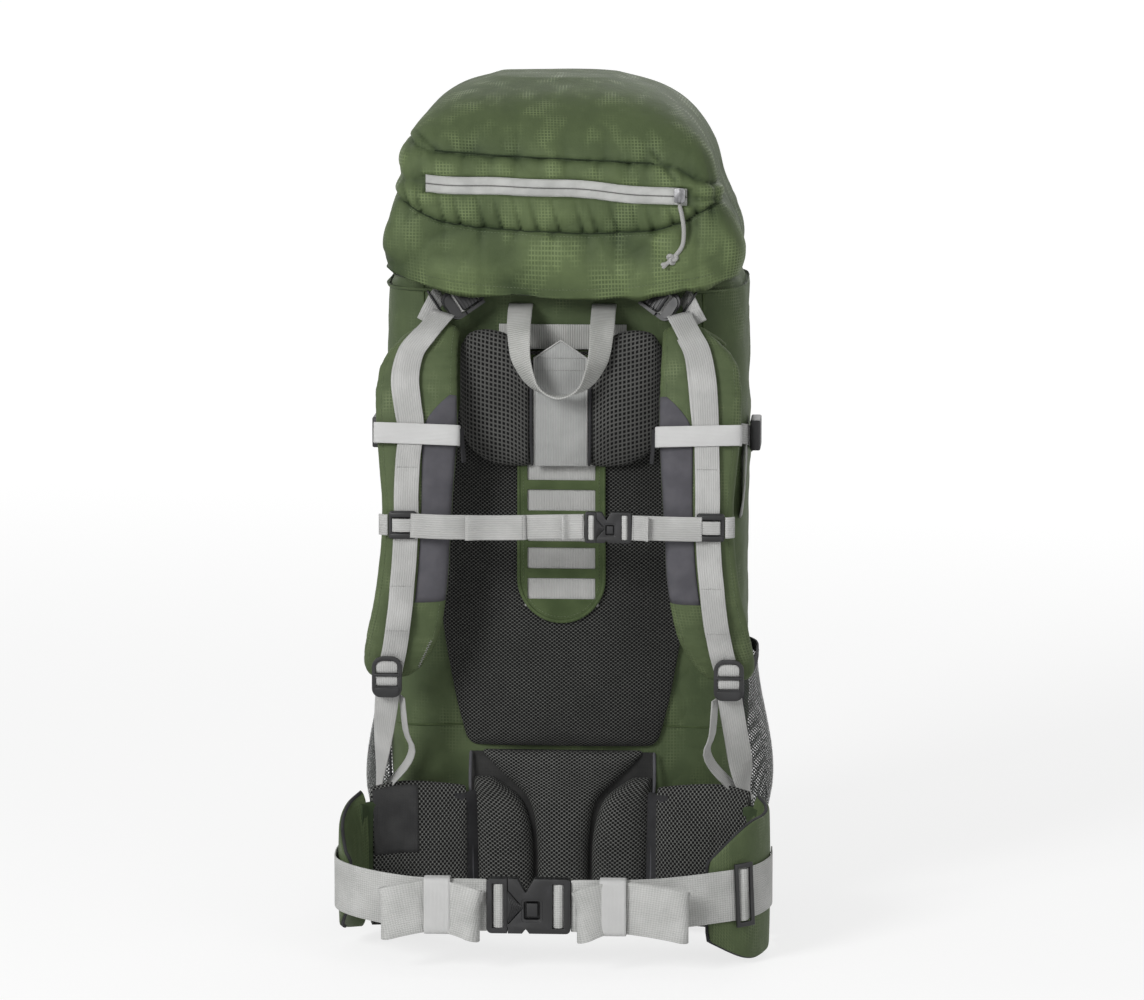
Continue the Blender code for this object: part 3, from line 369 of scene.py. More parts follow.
GREEN = ripstop("green_ripstop", srgb(52, 65, 40), srgb(108, 122, 84), 0.38)
LID_GREEN = ripstop("lid_ripstop", srgb(42, 55, 31), srgb(106, 121, 80), 0.62)
STRAP_GREEN = ripstop("strap_ripstop", srgb(56, 69, 42), srgb(112, 125, 88), 0.50)
EDGE_GREEN = plain_cloth("edge_tape_green", srgb(58, 71, 43), srgb(82, 96, 62))
# Dark cloth for the tubes that paint the shadow lines along the lid's seams
SEAM_SHADOW = plain_cloth("seam_shadow", srgb(30, 40, 24), srgb(44, 56, 34), 0.0009)
DARK_GREEN = plain_cloth("dark_green_nylon", srgb(46, 58, 37), srgb(62, 75, 50))
SLATE = plain_cloth("slate_cloth", srgb(76, 75, 80), srgb(94, 93, 98))
BASE_CLOTH = plain_cloth("base_cloth", srgb(36, 36, 36), srgb(54, 54, 53), 0.0016)
PATCH_CLOTH = plain_cloth("dark_patch_cloth", srgb(46, 46, 47), srgb(62, 62, 62), 0.0016)
BINDING = plain_cloth("dark_binding", srgb(40, 40, 42), srgb(58, 58, 60), 0.0008)
PIPING = plain_cloth("grey_piping", srgb(72, 72, 76), srgb(96, 96, 100), 0.0008)
THREAD = plain_cloth("stitching", srgb(76, 88, 62), srgb(118, 130, 102), 0.0008)
PALE_THREAD = plain_cloth("pale_stitching", srgb(138, 138, 136), srgb(168, 168, 166), 0.0008)
BACK_MESH = spacer_mesh("spacer_mesh", srgb(12, 12, 12), srgb(98, 99, 96), 0.0046, 0.0036, 0.27)
YOKE_MESH = spacer_mesh("yoke_mesh", srgb(10, 10, 10), srgb(86, 86, 84), 0.0044, 0.0042, 0.30, square=True)
LUMBAR_MESH = spacer_mesh("lumbar_mesh", srgb(14, 14, 14), srgb(124, 125, 122), 0.0050, 0.0040, 0.27)
NET = net("pocket_net", srgb(44, 47, 44))
WEBBING = webbing("grey_webbing", srgb(158, 158, 156), srgb(198, 198, 196))
HAUL_WEBBING = webbing("ribbed_webbing", srgb(140, 141, 137), srgb(190, 190, 187), 0.0012, 0.0022, 0.85)
BELT_CLOTH = webbing("belt_webbing", srgb(158, 159, 156), srgb(202, 202, 200), 0.0021, 0.0026, 0.5)
LADDER_CLOTH = webbing("ladder_webbing", srgb(140, 141, 140), srgb(182, 183, 181), 0.0016, 0.0010, 0.3)
WINDOW_CLOTH = webbing("window_webbing", srgb(158, 158, 156), srgb(190, 190, 188), 0.0016, 0.0010, 0.3)
ELASTIC = webbing("pale_elastic", srgb(196, 196, 195), srgb(214, 214, 213), 0.0009, 0.0013, 0.5)
PLASTIC = moulded("black_plastic", srgb(20, 20, 21), srgb(38, 38, 40))
SLIDER_METAL = metal("slider_metal", srgb(120, 120, 122), srgb(190, 190, 192), 0.3)
ALUMINIUM = metal("frame_aluminium", srgb(190, 190, 192), srgb(222, 222, 224), 0.28)
FRAME_SHEET = moulded("frame_plastic", srgb(52, 52, 54), srgb(70, 70, 72), 0.55)
CORD = braid("pull_cord", srgb(132, 132, 130), srgb(190, 190, 187))
ZIP_CLOTH = zip_cloth("zip_tape", srgb(88, 88, 86), srgb(196, 197, 194))


# Curves, grids and sewn pieces

def spread(low, high, count):
    """Values from low to high with count even steps between them."""
    return [low + (high - low) * step / count for step in range(count + 1)]


def straight(start, stop, count):
    """Points from one place to another with count even steps between them."""
    return [Vector(point) for point in zip(*(spread(a, b, count) for a, b in zip(start, stop)))]


def mirrored(point, sign):
    """A place or direction on the right side, or its mirror image on the left."""
    x, y, z = point
    return Vector((sign * x, y, z))


def curve_through(points, per_span):
    """Points along a smooth curve that passes through every given point. Points may have any size."""
    points = [Vector(point) for point in points]
    ends = [points[0] * 2 - points[1]] + points + [points[-1] * 2 - points[-2]]
    counts = per_span if isinstance(per_span, (list, tuple)) else [per_span] * (len(points) - 1)
    path = []
    for span, count in enumerate(counts):
        before, start, stop, after = ends[span:span + 4]
        for step in range(count):
            share = step / count
            path.append(0.5 * (2 * start + (stop - before) * share
                               + (2 * before - 5 * start + 4 * stop - after) * share ** 2
                               + (3 * start - before - 3 * stop + after) * share ** 3))
    return path + [points[-1]]


def value_at(table, key):
    """Read a table of rows by its rising first column, with straight steps between rows."""
    for low, high in zip(table, table[1:]):
        if key <= high[0]:
            share = max(0.0, (key - low[0]) / (high[0] - low[0]))
            return [a + (b - a) * share for a, b in zip(low, high)][1:]
    return list(table[-1][1:])


def ease(value, low, high):
    """Rises smoothly from 0 at low to 1 at high, which may be the lower of the two."""
    share = min(1.0, max(0.0, (value - low) / (high - low)))
    return share * share * (3 - 2 * share)


def hump(value, middle, reach):
    """Rounded bump of height 1."""
    return math.exp(-((value - middle) / reach) ** 2)


def tangents(path):
    """Direction of a path at each of its points."""
    last = len(path) - 1
    return [(path[min(place + 1, last)] - path[max(place - 1, 0)]).normalized()
            for place in range(last + 1)]


def skin(rows, wrap=False):
    """Points, faces and cloth places of a grid. Places run across each row from its middle, and along
    the rows. A wrapped grid closes on itself and at both ends."""
    columns = len(rows[0])
    spans = columns if wrap else columns - 1
    across = []
    for row in rows:
        run = [0.0]
        for step in range(spans):
            run.append(run[-1] + (row[(step + 1) % columns] - row[step]).length)
        across.append([place - run[-1] / 2 for place in run])
    along = [0.0]
    for row, after in zip(rows, rows[1:]):
        along.append(along[-1] + sum((b - a).length for a, b in zip(row, after)) / columns)
    faces = []
    places = []
    for low in range(len(rows) - 1):
        high = low + 1
        for left in range(spans):
            right = (left + 1) % columns
            faces.append((low * columns + left, low * columns + right, high * columns + right,
                          high * columns + left))
            places.append(((across[low][left], along[low]), (across[low][left + 1], along[low]),
                           (across[high][left + 1], along[high]), (across[high][left], along[high])))
    if wrap:
        for end in (0, len(rows) - 1):
            faces.append(tuple(range(end * columns, (end + 1) * columns)))
            places.append(tuple((place, along[end]) for place in across[end][:columns]))
    return [point for row in rows for point in row], faces, places


def build(name, material, skins, body=None, stands_for=()):
    """One object from several skins, with its cloth map, riding on a body."""
    verts, faces, places = [], [], []
    for points, quads, spots in skins:
        first = len(verts)
        verts += points
        faces += [tuple(corner + first for corner in quad) for quad in quads]
        places += spots
    mesh = bpy.data.meshes.new(name)
    mesh.from_pydata(verts, [], faces)
    layer = mesh.uv_layers.new(name="cloth")
    layer.data.foreach_set("uv", [number for face in places for spot in face for number in spot])
    shape = bmesh.new()
    shape.from_mesh(mesh)
    bmesh.ops.recalc_face_normals(shape, faces=shape.faces)
    shape.to_mesh(mesh)
    shape.free()
    mesh.shade_smooth()
    mesh.materials.append(material)
    piece = bpy.data.objects.new(name, mesh)
    bpy.context.collection.objects.link(piece)
    return settle(piece, body, stands_for)


def settle(piece, body, stands_for):
    """Say which body a piece rides on and which nodes it stands for."""
    if body:
        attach(piece, body)
    if stands_for:
        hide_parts(*stands_for)
    return piece


def emboss(piece, depth_at, full=0.006):
    """Move each point along its normal by what depth_at says, and note that as the cloth's fold shade, which
    is 1 at the full depth. The ripstop paints shade in the valleys and light on the ridges from it."""
    points = [(vert, vert.co.copy(), vert.normal.copy()) for vert in piece.data.vertices]
    fold_shade = piece.data.attributes.new("fold_shade", "FLOAT", "POINT")
    for vert, place, normal in points:
        depth = depth_at(place, normal)
        vert.co = place + normal * depth
        fold_shade.data[vert.index].value = max(-1.0, min(1.0, depth / full))
    piece.data.update()


def strip(path, width, across, thick=WEBBING_THICK):
    """Webbing along a path with rounded edges. Its width lies along across: one direction, or a list."""
    sides = across if isinstance(across, list) else [across] * len(path)
    edge = thick / 2
    flat = width / 2 - edge
    section = [(0, -1), (-0.5 * flat, -1), (-flat, -1), (-flat - edge * 0.7, -0.7), (-flat - edge, 0),
               (-flat - edge * 0.7, 0.7), (-flat, 1), (-0.5 * flat, 1), (0, 1), (0.5 * flat, 1), (flat, 1),
               (flat + edge * 0.7, 0.7), (flat + edge, 0), (flat + edge * 0.7, -0.7), (flat, -1),
               (0.5 * flat, -1)]
    rows = []
    for point, forward, side in zip(path, tangents(path), sides):
        face = forward.cross(side).normalized()
        side = face.cross(forward).normalized()
        rows.append([point + side * wide + face * deep * edge for wide, deep in section])
    return skin(rows, wrap=True)


def tube(path, radius, sides=8):
    """Round cord along a path, with rounded ends."""
    rows = []
    side = None
    last = len(path) - 1
    for place, (point, forward) in enumerate(zip(path, tangents(path))):
        if side is None:
            side = forward.orthogonal().normalized()
        side = (side - forward * side.dot(forward)).normalized()
        up = forward.cross(side)
        slim = 0.55 if place in (0, last) else 1.0
        rows.append([point + (side * math.cos(turn) + up * math.sin(turn)) * radius * slim
                     for turn in (2 * math.pi * step / sides for step in range(sides))])
    return skin(rows, wrap=True)


def along_path(path, pitch):
    """Evenly spaced (point, direction) pairs along a path."""
    spots = []
    left = 0.0
    for start, stop in zip(path, path[1:]):
        length = (stop - start).length
        while left < length:
            spots.append((start.lerp(stop, left / length), (stop - start).normalized()))
            left += pitch
        left -= length
    return spots


STITCH_RADIUS = 0.00032


def stitches(path, pitch=0.0032, length=0.0021):
    """Row of short raised threads along a path."""
    return [tube([point - forward * length / 2, point, point + forward * length / 2], STITCH_RADIUS, 5)
            for point, forward in along_path(path, pitch)]


def loop_point(angle, half_x, near_y, far_y, near_power, far_power):
    """Point of a rounded box outline in one direction. A higher power makes that side squarer."""
    wide, deep = math.cos(angle), math.sin(angle)
    power = near_power if deep < 0 else far_power
    reach = (abs(wide) ** power + abs(deep) ** power) ** (-1 / power)
    return half_x * reach * wide, (near_y + far_y) / 2 + (far_y - near_y) / 2 * reach * deep


def directions(count):
    """Even directions that start at the middle of the far side."""
    return [math.pi / 2 + 2 * math.pi * step / count for step in range(count)]


def bag_row(z, half_width, far_y, inset, count):
    """Outline of the bag at one height."""
    return [Vector((*loop_point(turn, half_width - inset, BAG_NEAR_Y + inset, far_y - inset,
                                BAG_NEAR_POWER, BAG_FAR_POWER), z)) for turn in directions(count)]


BAG_TABLE = curve_through(BAG_LEVELS, [6, 12, 30, 44, 10, 6, 6])


def bag_side_x(y, z):
    """How far out the bag's side wall is."""
    half_width, far_y = value_at(BAG_TABLE, z)
    middle = (BAG_NEAR_Y + far_y) / 2
    power = BAG_NEAR_POWER if y < middle else BAG_FAR_POWER
    share = min(1, abs(y - middle) / (far_y - middle))
    return half_width * (1 - share ** power) ** (1 / power)


def bag_folds(place, _):
    """Slack of the filled bag: broad dents, creases that lean, and the dip along its side seam."""
    broad = noise.noise(place * 13) * 0.0026
    leaning = Vector((place.x * 22 + place.z * 16, place.y * 22, place.z * 34 - place.x * 9))
    crease = noise.noise(leaning) * 0.0020
    seam = 0.0030 * math.exp(-abs(place.z - SIDE_SEAM_Z) / 0.003) * ease(abs(place.x), 0.060, 0.075)
    return (broad + crease - seam - 0.0014) * ease(place.z, 0.02, 0.08)


def make_bag():
    """Cover of the bag, outside and inside, and the welts along its seams."""
    count = 220
    outer = [bag_row(z, half, far, 0, count) for z, half, far in BAG_TABLE]
    inner = [bag_row(z, half, far, BAG_WALL, count) for z, half, far in reversed(BAG_LEVELS[1:])]
    cover = build("bag_cover", GREEN, [skin(outer + inner, wrap=True)], "pack", ["main_bag"])
    emboss(cover, bag_folds)
    welts = []
    for sign in (-1, 1):
        side_seam = straight((sign * 0.070, 0, 0.205), (sign * 0.165, 0, 0.199), 30)
        welts.append(laid(cover, side_seam, WELT_LIFT))
        welts.append(laid(cover, straight((sign * 0.136, 0, 0.30), (sign * 0.136, 0, 0.64), 60), WELT_LIFT))
        far_seam = straight((sign * 0.118, 0, 0.06), (sign * 0.118, 0, 0.64), 80)
        welts.append(laid(cover, far_seam, WELT_LIFT, NEAR))
        middle_seam = straight((0, 0.085, 0.06), (0, 0.085, 0.62), 80)
        welts.append(laid(cover, middle_seam, WELT_LIFT, -RIGHT * sign))
    bow = [(-0.150 + 0.300 * share, 0, 0.225 - 0.010 * math.cos(2 * math.pi * share))
           for share in spread(0, 1, 80)]
    welts.append(laid(cover, bow, WELT_LIFT, NEAR))
    build("bag_welts", EDGE_GREEN, [tube(line, WELT_RADIUS, 6) for line in welts if len(line) > 2], "pack")


# Pads

AIR_PRESSURE = 4.0
SWELL_FRAMES = 20
# Points at either end of a pad's rows, on its back and edges, that the simulation holds
SEWN_POINTS = 5
PATCH_THICK = 0.0005
PATCH_LIFT = 0.0006
# Most that a pad may swell, and that one with a smooth cloth cover or a valley may
FULL_SWELL = 0.005
LOW_SWELL = 0.003
# Sections of the pads: (points on the front, squareness, crown, fullness of the back)
UPRIGHT_SECTION = (28, 3.2, 2.2, 0.0)
YOKE_SECTION = (34, 3.4, 2.4, 0.0)
STRAP_SECTION = (34, 3.4, 2.4, 0.12)
BELT_SECTION = (34, 4.0, 2.4, 0.10)
# Where a section has points on the back, from edge to edge
BACK_WIDES = (0.92, 0.7, 0.35, 0, -0.35, -0.7, -0.92)
# Share of its thickness at which a pad starts, before it swells
PAD_START = 0.80


def padded_rows(stations, front, square, crown, belly):
    """Rows of a sewn pad: a crowned front drawn down to its edges, and a back that is flat or a little full.
    Stations are (place on the back, across, outward, half width, thickness)."""
    turns = [math.pi * (step / front - 0.5) for step in range(front + 1)]
    section = [(math.sin(turn), (1 - abs(math.sin(turn)) ** square) ** (1 / crown)) for turn in turns]
    behind = [(wide, -belly * (1 - wide * wide)) for wide in BACK_WIDES]
    section = behind[3:] + section + behind[:3]
    return [[place + across * wide * half + outward * deep * thick * PAD_START for wide, deep in section]
            for place, across, outward, half, thick in stations]


def make_pad(name, material, stations, body, node, section, cap=FULL_SWELL):
    """Pad through its stations, swollen by air."""
    piece = build(name, material, [skin(padded_rows(stations, *section), wrap=True)], body, [node])
    plump(piece, section[0] + 1 + len(BACK_WIDES), cap)
    return piece


def plump(piece, columns, cap):
    """Swell a pad with air by a short cloth simulation, held at its back and its ends, by no more than cap,
    then smooth it once. Columns is the number of points in each of its rows."""
    rest = [vert.co.copy() for vert in piece.data.vertices]
    last = len(rest) // columns - 1
    sewn = [point for point in range(len(rest)) if point // columns in (0, last)
            or not SEWN_POINTS < point % columns < columns - SEWN_POINTS]
    held = piece.vertex_groups.new(name="sewn")
    held.add(sewn, 1.0, "ADD")
    cloth = piece.modifiers.new("air", "CLOTH")
    cloth.settings.quality = 5
    cloth.settings.mass = 0.15
    cloth.settings.use_pressure = True
    cloth.settings.uniform_pressure_force = AIR_PRESSURE
    cloth.settings.vertex_group_mass = "sewn"
    cloth.settings.effector_weights.gravity = 0.0
    for step in range(1, SWELL_FRAMES + 1):
        bpy.context.scene.frame_set(step)
    only(piece)
    bpy.ops.object.modifier_apply(modifier="air")
    bpy.context.scene.frame_set(1)
    for vert, start in zip(piece.data.vertices, rest):
        move = vert.co - start
        vert.co = start + move * min(1.0, cap / max(move.length, 1e-9))
    piece.vertex_groups.clear()
    apply(piece, "SUBSURF", levels=1, render_levels=1)


def onto(cover, point, lift):
    """Nearest place on a pad, lifted off it."""
    _, spot, normal, _ = cover.closest_point_on_mesh(point)
    return spot + normal * lift


def pad_point(station, wide, section):
    """Place on the crowned face of a pad, from one edge at -1 to the other at 1."""
    place, across, outward, half, thick = station
    _, square, crown, _ = section
    return place + across * wide * half + outward * thick * (1 - abs(wide) ** square) ** (1 / crown)


def patch(cover, stations, edges, section):
    """Thin panel sewn on a pad's face. Edges gives its two sides at a station, or nothing where it isn't."""
    rows = []
    for station in stations:
        sides = edges(station[0])
        if sides:
            face = [pad_point(station, wide, section) for wide in spread(*sides, 14)]
            upper = [onto(cover, point, PATCH_LIFT) for point in face]
            under = [onto(cover, point, PATCH_LIFT - PATCH_THICK) for point in reversed(face)]
            rows.append(upper + under)
    return skin(rows, wrap=True)


def end_round(share, reach):
    """Rises as a quarter circle from 0 at either end to 1 over the given share of the length."""
    inward = min(1.0, min(share, 1 - share) / reach)
    return math.sqrt(max(0.0, 1 - (1 - inward) ** 2))


def rounded_shares(count):
    """Shares from 0 to 1 that lie closer together towards both ends."""
    return [0.5 + 0.5 * math.copysign(1 - (1 - abs(even)) ** 1.6, even) for even in spread(-1, 1, count)]


def path_at(path, share):
    """Point at a share of a path's list, with straight steps between its points."""
    spot = min(share, 0.999999) * (len(path) - 1)
    low = int(spot)
    return path[low].lerp(path[low + 1], spot - low)


# Base and collar

def make_base():
    """Heavy cloth that closes the bottom and laps up round the foot of the bag."""
    rows = []
    for z, inset in BASE_LAPS:
        half, far = value_at(BAG_TABLE, z)
        rows.append(bag_row(z, half, far, inset, 160))
    build("base_cover", BASE_CLOTH, [skin(rows, wrap=True)], "pack", ["base_panel"])


def make_collar():
    """Thin cloth round the mouth, drawn in at its top in small gathers."""
    foot_z, half, far = BAG_LEVELS[-1]
    count = 240
    rows = []
    for wall, shares in ((0, (0, 0.2, 0.4, 0.6, 0.8, 1)), (COLLAR_WALL, (1, 0.8, 0.6, 0.4, 0.2, 0))):
        for share in shares:
            z = foot_z + (COLLAR_TOP_Z - foot_z) * share
            row = bag_row(z, half, far, COLLAR_DRAWN_IN * share ** 1.2 + wall, count)
            for step, point in enumerate(row):
                turn = step * 2 * math.pi / count * COLLAR_GATHERS + 2 * noise.noise(point * 25)
                pull = COLLAR_GATHER_DEPTH * share * math.sin(turn)
                row[step] = point + Vector((point.x, point.y, 0)).normalized() * pull
            rows.append(row)
    build("collar_cloth", DARK_GREEN, [skin(rows, wrap=True)], "pack", ["snow_collar"])


# Lid

def zip_z(x):
    """Height of the zip's line, which slopes and waves a little."""
    wave = 0.0012 * math.sin((x + 0.05) * 30) + 0.0006 * math.sin(x * 71)
    return ZIP_MIDDLE.z - (x - ZIP_MIDDLE.x) * ZIP_SLOPE + wave


def lid_row(level, inset, count):
    """Outline of the lid at one level, with its hem hanging lower in the middle of the near side."""
    z, half, near, far, power, middle = level
    row = []
    for turn in directions(count):
        x, y = loop_point(turn, half - inset, near + inset, far - inset, power, LID_FAR_POWER)
        hang = HEM_DROOP * (1 - (x / half) ** 2) * max(0.0, y / near) * (1 - ease(z, HEM_Z, 0.694))
        row.append(Vector((x + middle, y, z - hang)))
    return row


def from_line(x, z, start, stop):
    """Distance from a straight seam in the plane of the lid's face."""
    run = Vector(stop) - Vector(start)
    away = Vector((x, z)) - Vector(start)
    share = min(1.0, max(0.0, away.dot(run) / run.length_squared))
    return (away - run * share).length


def ridges(value, bend):
    """Sharp valleys, from 0 between them to 1 in them, at uneven places along a seam."""
    turn = value + 1.1 * noise.noise(Vector((value * 0.37, bend, 0.0)))
    return (1 - abs(math.sin(turn))) ** 2


def creases(place, scale):
    """Thin crumpled lines in worn cloth, from 0 to 1."""
    return (1 - min(1.0, 2.2 * abs(noise.noise(place * scale)))) ** 3


def lid_relief(place, normal):
    """Seams, gathers and fullness of the lid's pocket panel, and soft folds all over."""
    x, y, z = place
    front = ease(y, -0.070, -0.125)
    upper = value_at(UPPER_SEAM, x)[0]
    lower = value_at(LOWER_SEAM, x)[0]
    middle = zip_z(x)
    leaning = Vector((x * 24 + z * 10, y * 20, z * 15 - x * 8))
    calm = 1 - 0.6 * ease(z, upper, upper + 0.02)
    depth = (noise.noise(place * 14) * 0.0022 + noise.noise(leaning) * 0.0020) * calm
    depth -= (0.0012 * creases(place, 17) + 0.0006 * creases(place + Vector((3, 1, 2)), 34)) * calm ** 2
    if lower < z < middle:
        full = 0.0034 * math.sin(math.pi * (z - lower) / (middle - lower))
    elif middle < z < upper:
        full = 0.0042 * math.sin(math.pi * (z - middle) / (upper - middle))
        full += 0.0026 * noise.noise(Vector((x * 46, z * 12, 3.0)))
    elif z <= lower:
        full = 0.0018 * math.sin(math.pi * min(1, (lower - z) / 0.062))
        slack = noise.noise(Vector(((x + 0.75 * z) * 22, z * 7, 5.0)))
        full += (0.0085 * slack + 0.0030 * abs(slack)) * ease(lower - z, 0.0, 0.012)
    else:
        full = 0.0008
    above = max(0.0, z - lower)
    gathers = 0.0064 * ridges((x + 0.25 * above) * 168, 0.3) ** 1.5 * math.exp(-above / 0.019) * (z > lower)
    gathers += 0.0030 * ridges(x * 96 + 1, 4.2) * math.exp(-max(0.0, lower - z) / 0.020) * (z <= lower)
    gathers += 0.0026 * ridges(x * 118 + 2, 7.7) * math.exp(-max(0.0, upper - z) / 0.014) * (z <= upper)
    gathers += 0.0026 * ridges(x * 74 + 3, 2.9) * math.exp(-max(0.0, z - upper) / 0.016) * (z > upper)
    seam = 0.0052 * math.exp(-abs(z - lower) / 0.0015) + 0.0044 * math.exp(-abs(z - upper) / 0.0013)
    for start, stop, strength in LID_DARTS:
        seam = max(seam, strength * math.exp(-from_line(x, z, start, stop) / 0.0016))
    seam *= 0.72 + 0.5 * noise.noise(Vector((x * 160, 9.0, z * 160)))
    depth += front * (full - gathers - seam)
    over_buckle = front * hump(abs(x), BUCKLE_X, 0.036) * ease(z, 0.672, 0.652)
    depth += (max(depth, 0.0) + BUCKLE_ROOM - depth) * over_buckle
    # The skirt's lining faces the other way, and moves with its cover
    if normal.y > 0.5 and y < -0.10:
        return -depth
    in_zip = ease(abs(z - middle), 0.0098, 0.0080) * ease(abs(x - ZIP_MIDDLE.x), 0.133, 0.128)
    return depth + (-ZIP_PRESSED_IN - depth) * in_zip * front


def laid(piece, points, lift, ray=-NEAR):
    """Points moved along a ray until they lie on a piece, then lifted off it."""
    found = []
    for point in points:
        hit, spot, normal, _ = piece.ray_cast(Vector(point) - ray * 0.2, ray)
        if hit:
            found.append(spot + normal * lift)
    return found


def make_lid():
    """Lid with its skirt, seams and stitching, painted shadow lines along two seams, its floor, and the
    cloth that hinges it.
    """
    count = 560
    rows = []
    for z, inset in LID_LINING:
        beside = LID_LEVELS[1] if z > 0.68 else LID_LEVELS[0]
        rows.append(lid_row((z, *beside[1:]), inset, count))
    rows += [lid_row(level, 0.0, count) for level in curve_through(LID_LEVELS, 18)]
    z, half, near, far, power, middle = LID_LEVELS[-1]
    for share in (0.86, 0.7, 0.54, 0.38, 0.22, 0.08):
        rise = z + 0.0016 * (1 - share ** 2)
        rows.append(lid_row((rise, half * share, near * share, far * share, power, middle), 0.0, count))
    cover = build("lid_cover", LID_GREEN, [skin(rows, wrap=True)], "lid", ["lid_shell"])
    emboss(cover, lid_relief, 0.0045)
    # Dark tubes along the lower and upper seams: painted shadow lines where the seams sink in
    welts = []
    for seam, low, high in ((LOWER_SEAM, -0.152, 0.150), (UPPER_SEAM, -0.122, 0.090)):
        line = [(x, 0, value_at(seam, x)[0]) for x in spread(low, high, 120)]
        welts.append(tube(laid(cover, line, 0.0002), 0.0008, 6))
    build("lid_seam_shadows", SEAM_SHADOW, welts, "lid")
    half_hem = LID_LEVELS[0][1]
    hem = [(x, 0, HEM_Z + 0.009 - HEM_DROOP * (1 - (x / half_hem) ** 2))
           for x in spread(-0.150, 0.150, 120)]
    below_seam = [(x, 0, value_at(LOWER_SEAM, x)[0] - 0.0034) for x in spread(-0.145, 0.145, 116)]
    threads = []
    for line in (hem, below_seam):
        threads += stitches(laid(cover, line, 0.0002), 0.0034, 0.0022)
    build("lid_stitching", THREAD, threads, "lid")
    floor_rows = []
    for share, sag in LID_FLOOR_SAG:
        outline = [loop_point(turn, 0.1610 * share, -0.1505 * share, 0.135 * share, 14, LID_FAR_POWER)
                   for turn in directions(96)]
        floor_rows.append([Vector((x, y, LID_FLOOR_Z - sag)) for x, y in outline])
    build("lid_floor_cloth", DARK_GREEN, [skin(floor_rows, wrap=True)], "lid", ["lid_floor"])
    ledge = [Vector((0, y, 0.6405 - 0.002 * math.sin(math.pi * (y + 0.1465) / 0.031)))
             for y in spread(-0.1468, -0.1158, 12)]
    hinge = build("lid_hinge_cloth", DARK_GREEN, [strip(ledge, HINGE_CLOTH_WIDTH, RIGHT, 0.0018)], None,
                  ["lid_hinge_panel"])
    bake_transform(hinge)


def make_zip():
    """Zip tape with a low bulge on both sides of its closing line."""
    lower = [(-high, lift) for high, lift in reversed(ZIP_SECTION[1:])]
    section = [(0.0, ZIP_SECTION[-1][1])] + lower + list(ZIP_SECTION)
    rows = []
    for x in spread(ZIP_MIDDLE.x - ZIP_HALF_LENGTH, ZIP_MIDDLE.x + ZIP_HALF_LENGTH, 140):
        share = abs(x) / 0.157
        y = ZIP_FACE_Y + 0.147 * (1 - (1 - share ** 14) ** (1 / 14))
        rows.append([Vector((x, y - lift, zip_z(x) + high)) for high, lift in section])
    build("zip_strip", ZIP_CLOTH, [skin(rows, wrap=True)], "lid", ["zip_tape"])


def make_pull():
    """Cord pull with its knot and frayed ends, hanging from the slider."""
    low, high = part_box("zip_slider")
    pivot = Vector(((low.x + high.x) / 2, high.y - 0.0035, low.z + 0.0025))
    route = curve_through([pivot + Vector(step) for step in PULL_STEPS], 6)
    cord = build("zip_cord", CORD, [tube(route, PULL_DIAMETER / 2, 12)], "zip_pull", ["zip_pull"])
    knot_at = route[-4]
    turns = []
    for turn in spread(0, 2 * math.pi, 60):
        bend = Vector((math.sin(turn) + 2 * math.sin(2 * turn), -1.2 * math.sin(3 * turn),
                       math.cos(turn) - 2 * math.cos(2 * turn)))
        turns.append(knot_at + bend * KNOT_SIZE)
    lines = [turns]
    for away, fall in ((0.0005, -0.0016), (-0.0010, 0.0016)):
        tail = [knot_at, knot_at + Vector((-0.005, -0.0010, -0.0045)),
                knot_at + Vector((-0.0105 - away, -0.0012, -0.0075 - fall))]
        lines.append(curve_through(tail, 4))
    knot = build("cord_knot", CORD, [tube(line, KNOT_RADIUS, 10) for line in lines], "zip_pull")


# Back panel

PAD_BACK_Y = -0.1153
# Back pad and middle lumbar pad: (height, half width)
BACK_LEVELS = ((0.1835, 0.093), (0.240, 0.107), (0.330, 0.120), (0.430, 0.115), (0.530, 0.099),
               (0.573, 0.090))
BACK_THICK = 0.0195
LUMBAR_CENTRE = ((0.010, 0.026), (0.050, 0.025), (0.095, 0.026), (0.130, 0.034), (0.156, 0.060),
                 (0.179, 0.082))
LUMBAR_CENTRE_THICK = 0.0215
# Outer lumbar pads: (height, inner edge, outer edge)
LUMBAR_SIDE = ((0.010, 0.029, 0.083), (0.050, 0.0285, 0.085), (0.095, 0.030, 0.087), (0.130, 0.041, 0.088),
               (0.152, 0.068, 0.087))
LUMBAR_SIDE_THICK = 0.0235
LUMBAR_PIPING = ((0.0865, -0.128, 0.012), (0.0880, -0.132, 0.06), (0.0890, -0.131, 0.11),
                 (0.0905, -0.126, 0.150), (0.0900, -0.121, 0.178))
LADDER_BACK_Y = -0.1368
LADDER_HALF_WIDTH = 0.043
LADDER_LOW_Z = 0.309
LADDER_HIGH_Z = 0.572
WINDOW_HALF_WIDTH = 0.033
WINDOW_HEIGHT = 0.0205
WINDOW_PITCH = 0.029
WINDOW_MARGIN = 0.0235
WINDOW_COUNT = 8


def upright_pad(name, node, levels, thick, mesh, reach=0.10, count=56):
    """Mesh pad against the back wall, from (height, left edge, right edge) levels."""
    table = curve_through([(left, right, z) for z, left, right in levels], 12)
    stations = []
    for share in rounded_shares(count):
        left, right, z = path_at(table, share)
        full = 0.30 + 0.70 * end_round(share, reach)
        pinch = 0.90 + 0.10 * end_round(share, 0.04)
        centre = Vector(((left + right) / 2, PAD_BACK_Y, z))
        stations.append((centre, RIGHT, NEAR, (right - left) / 2 * pinch, thick * full))
    make_pad(name, mesh, stations, "pack", node, UPRIGHT_SECTION)


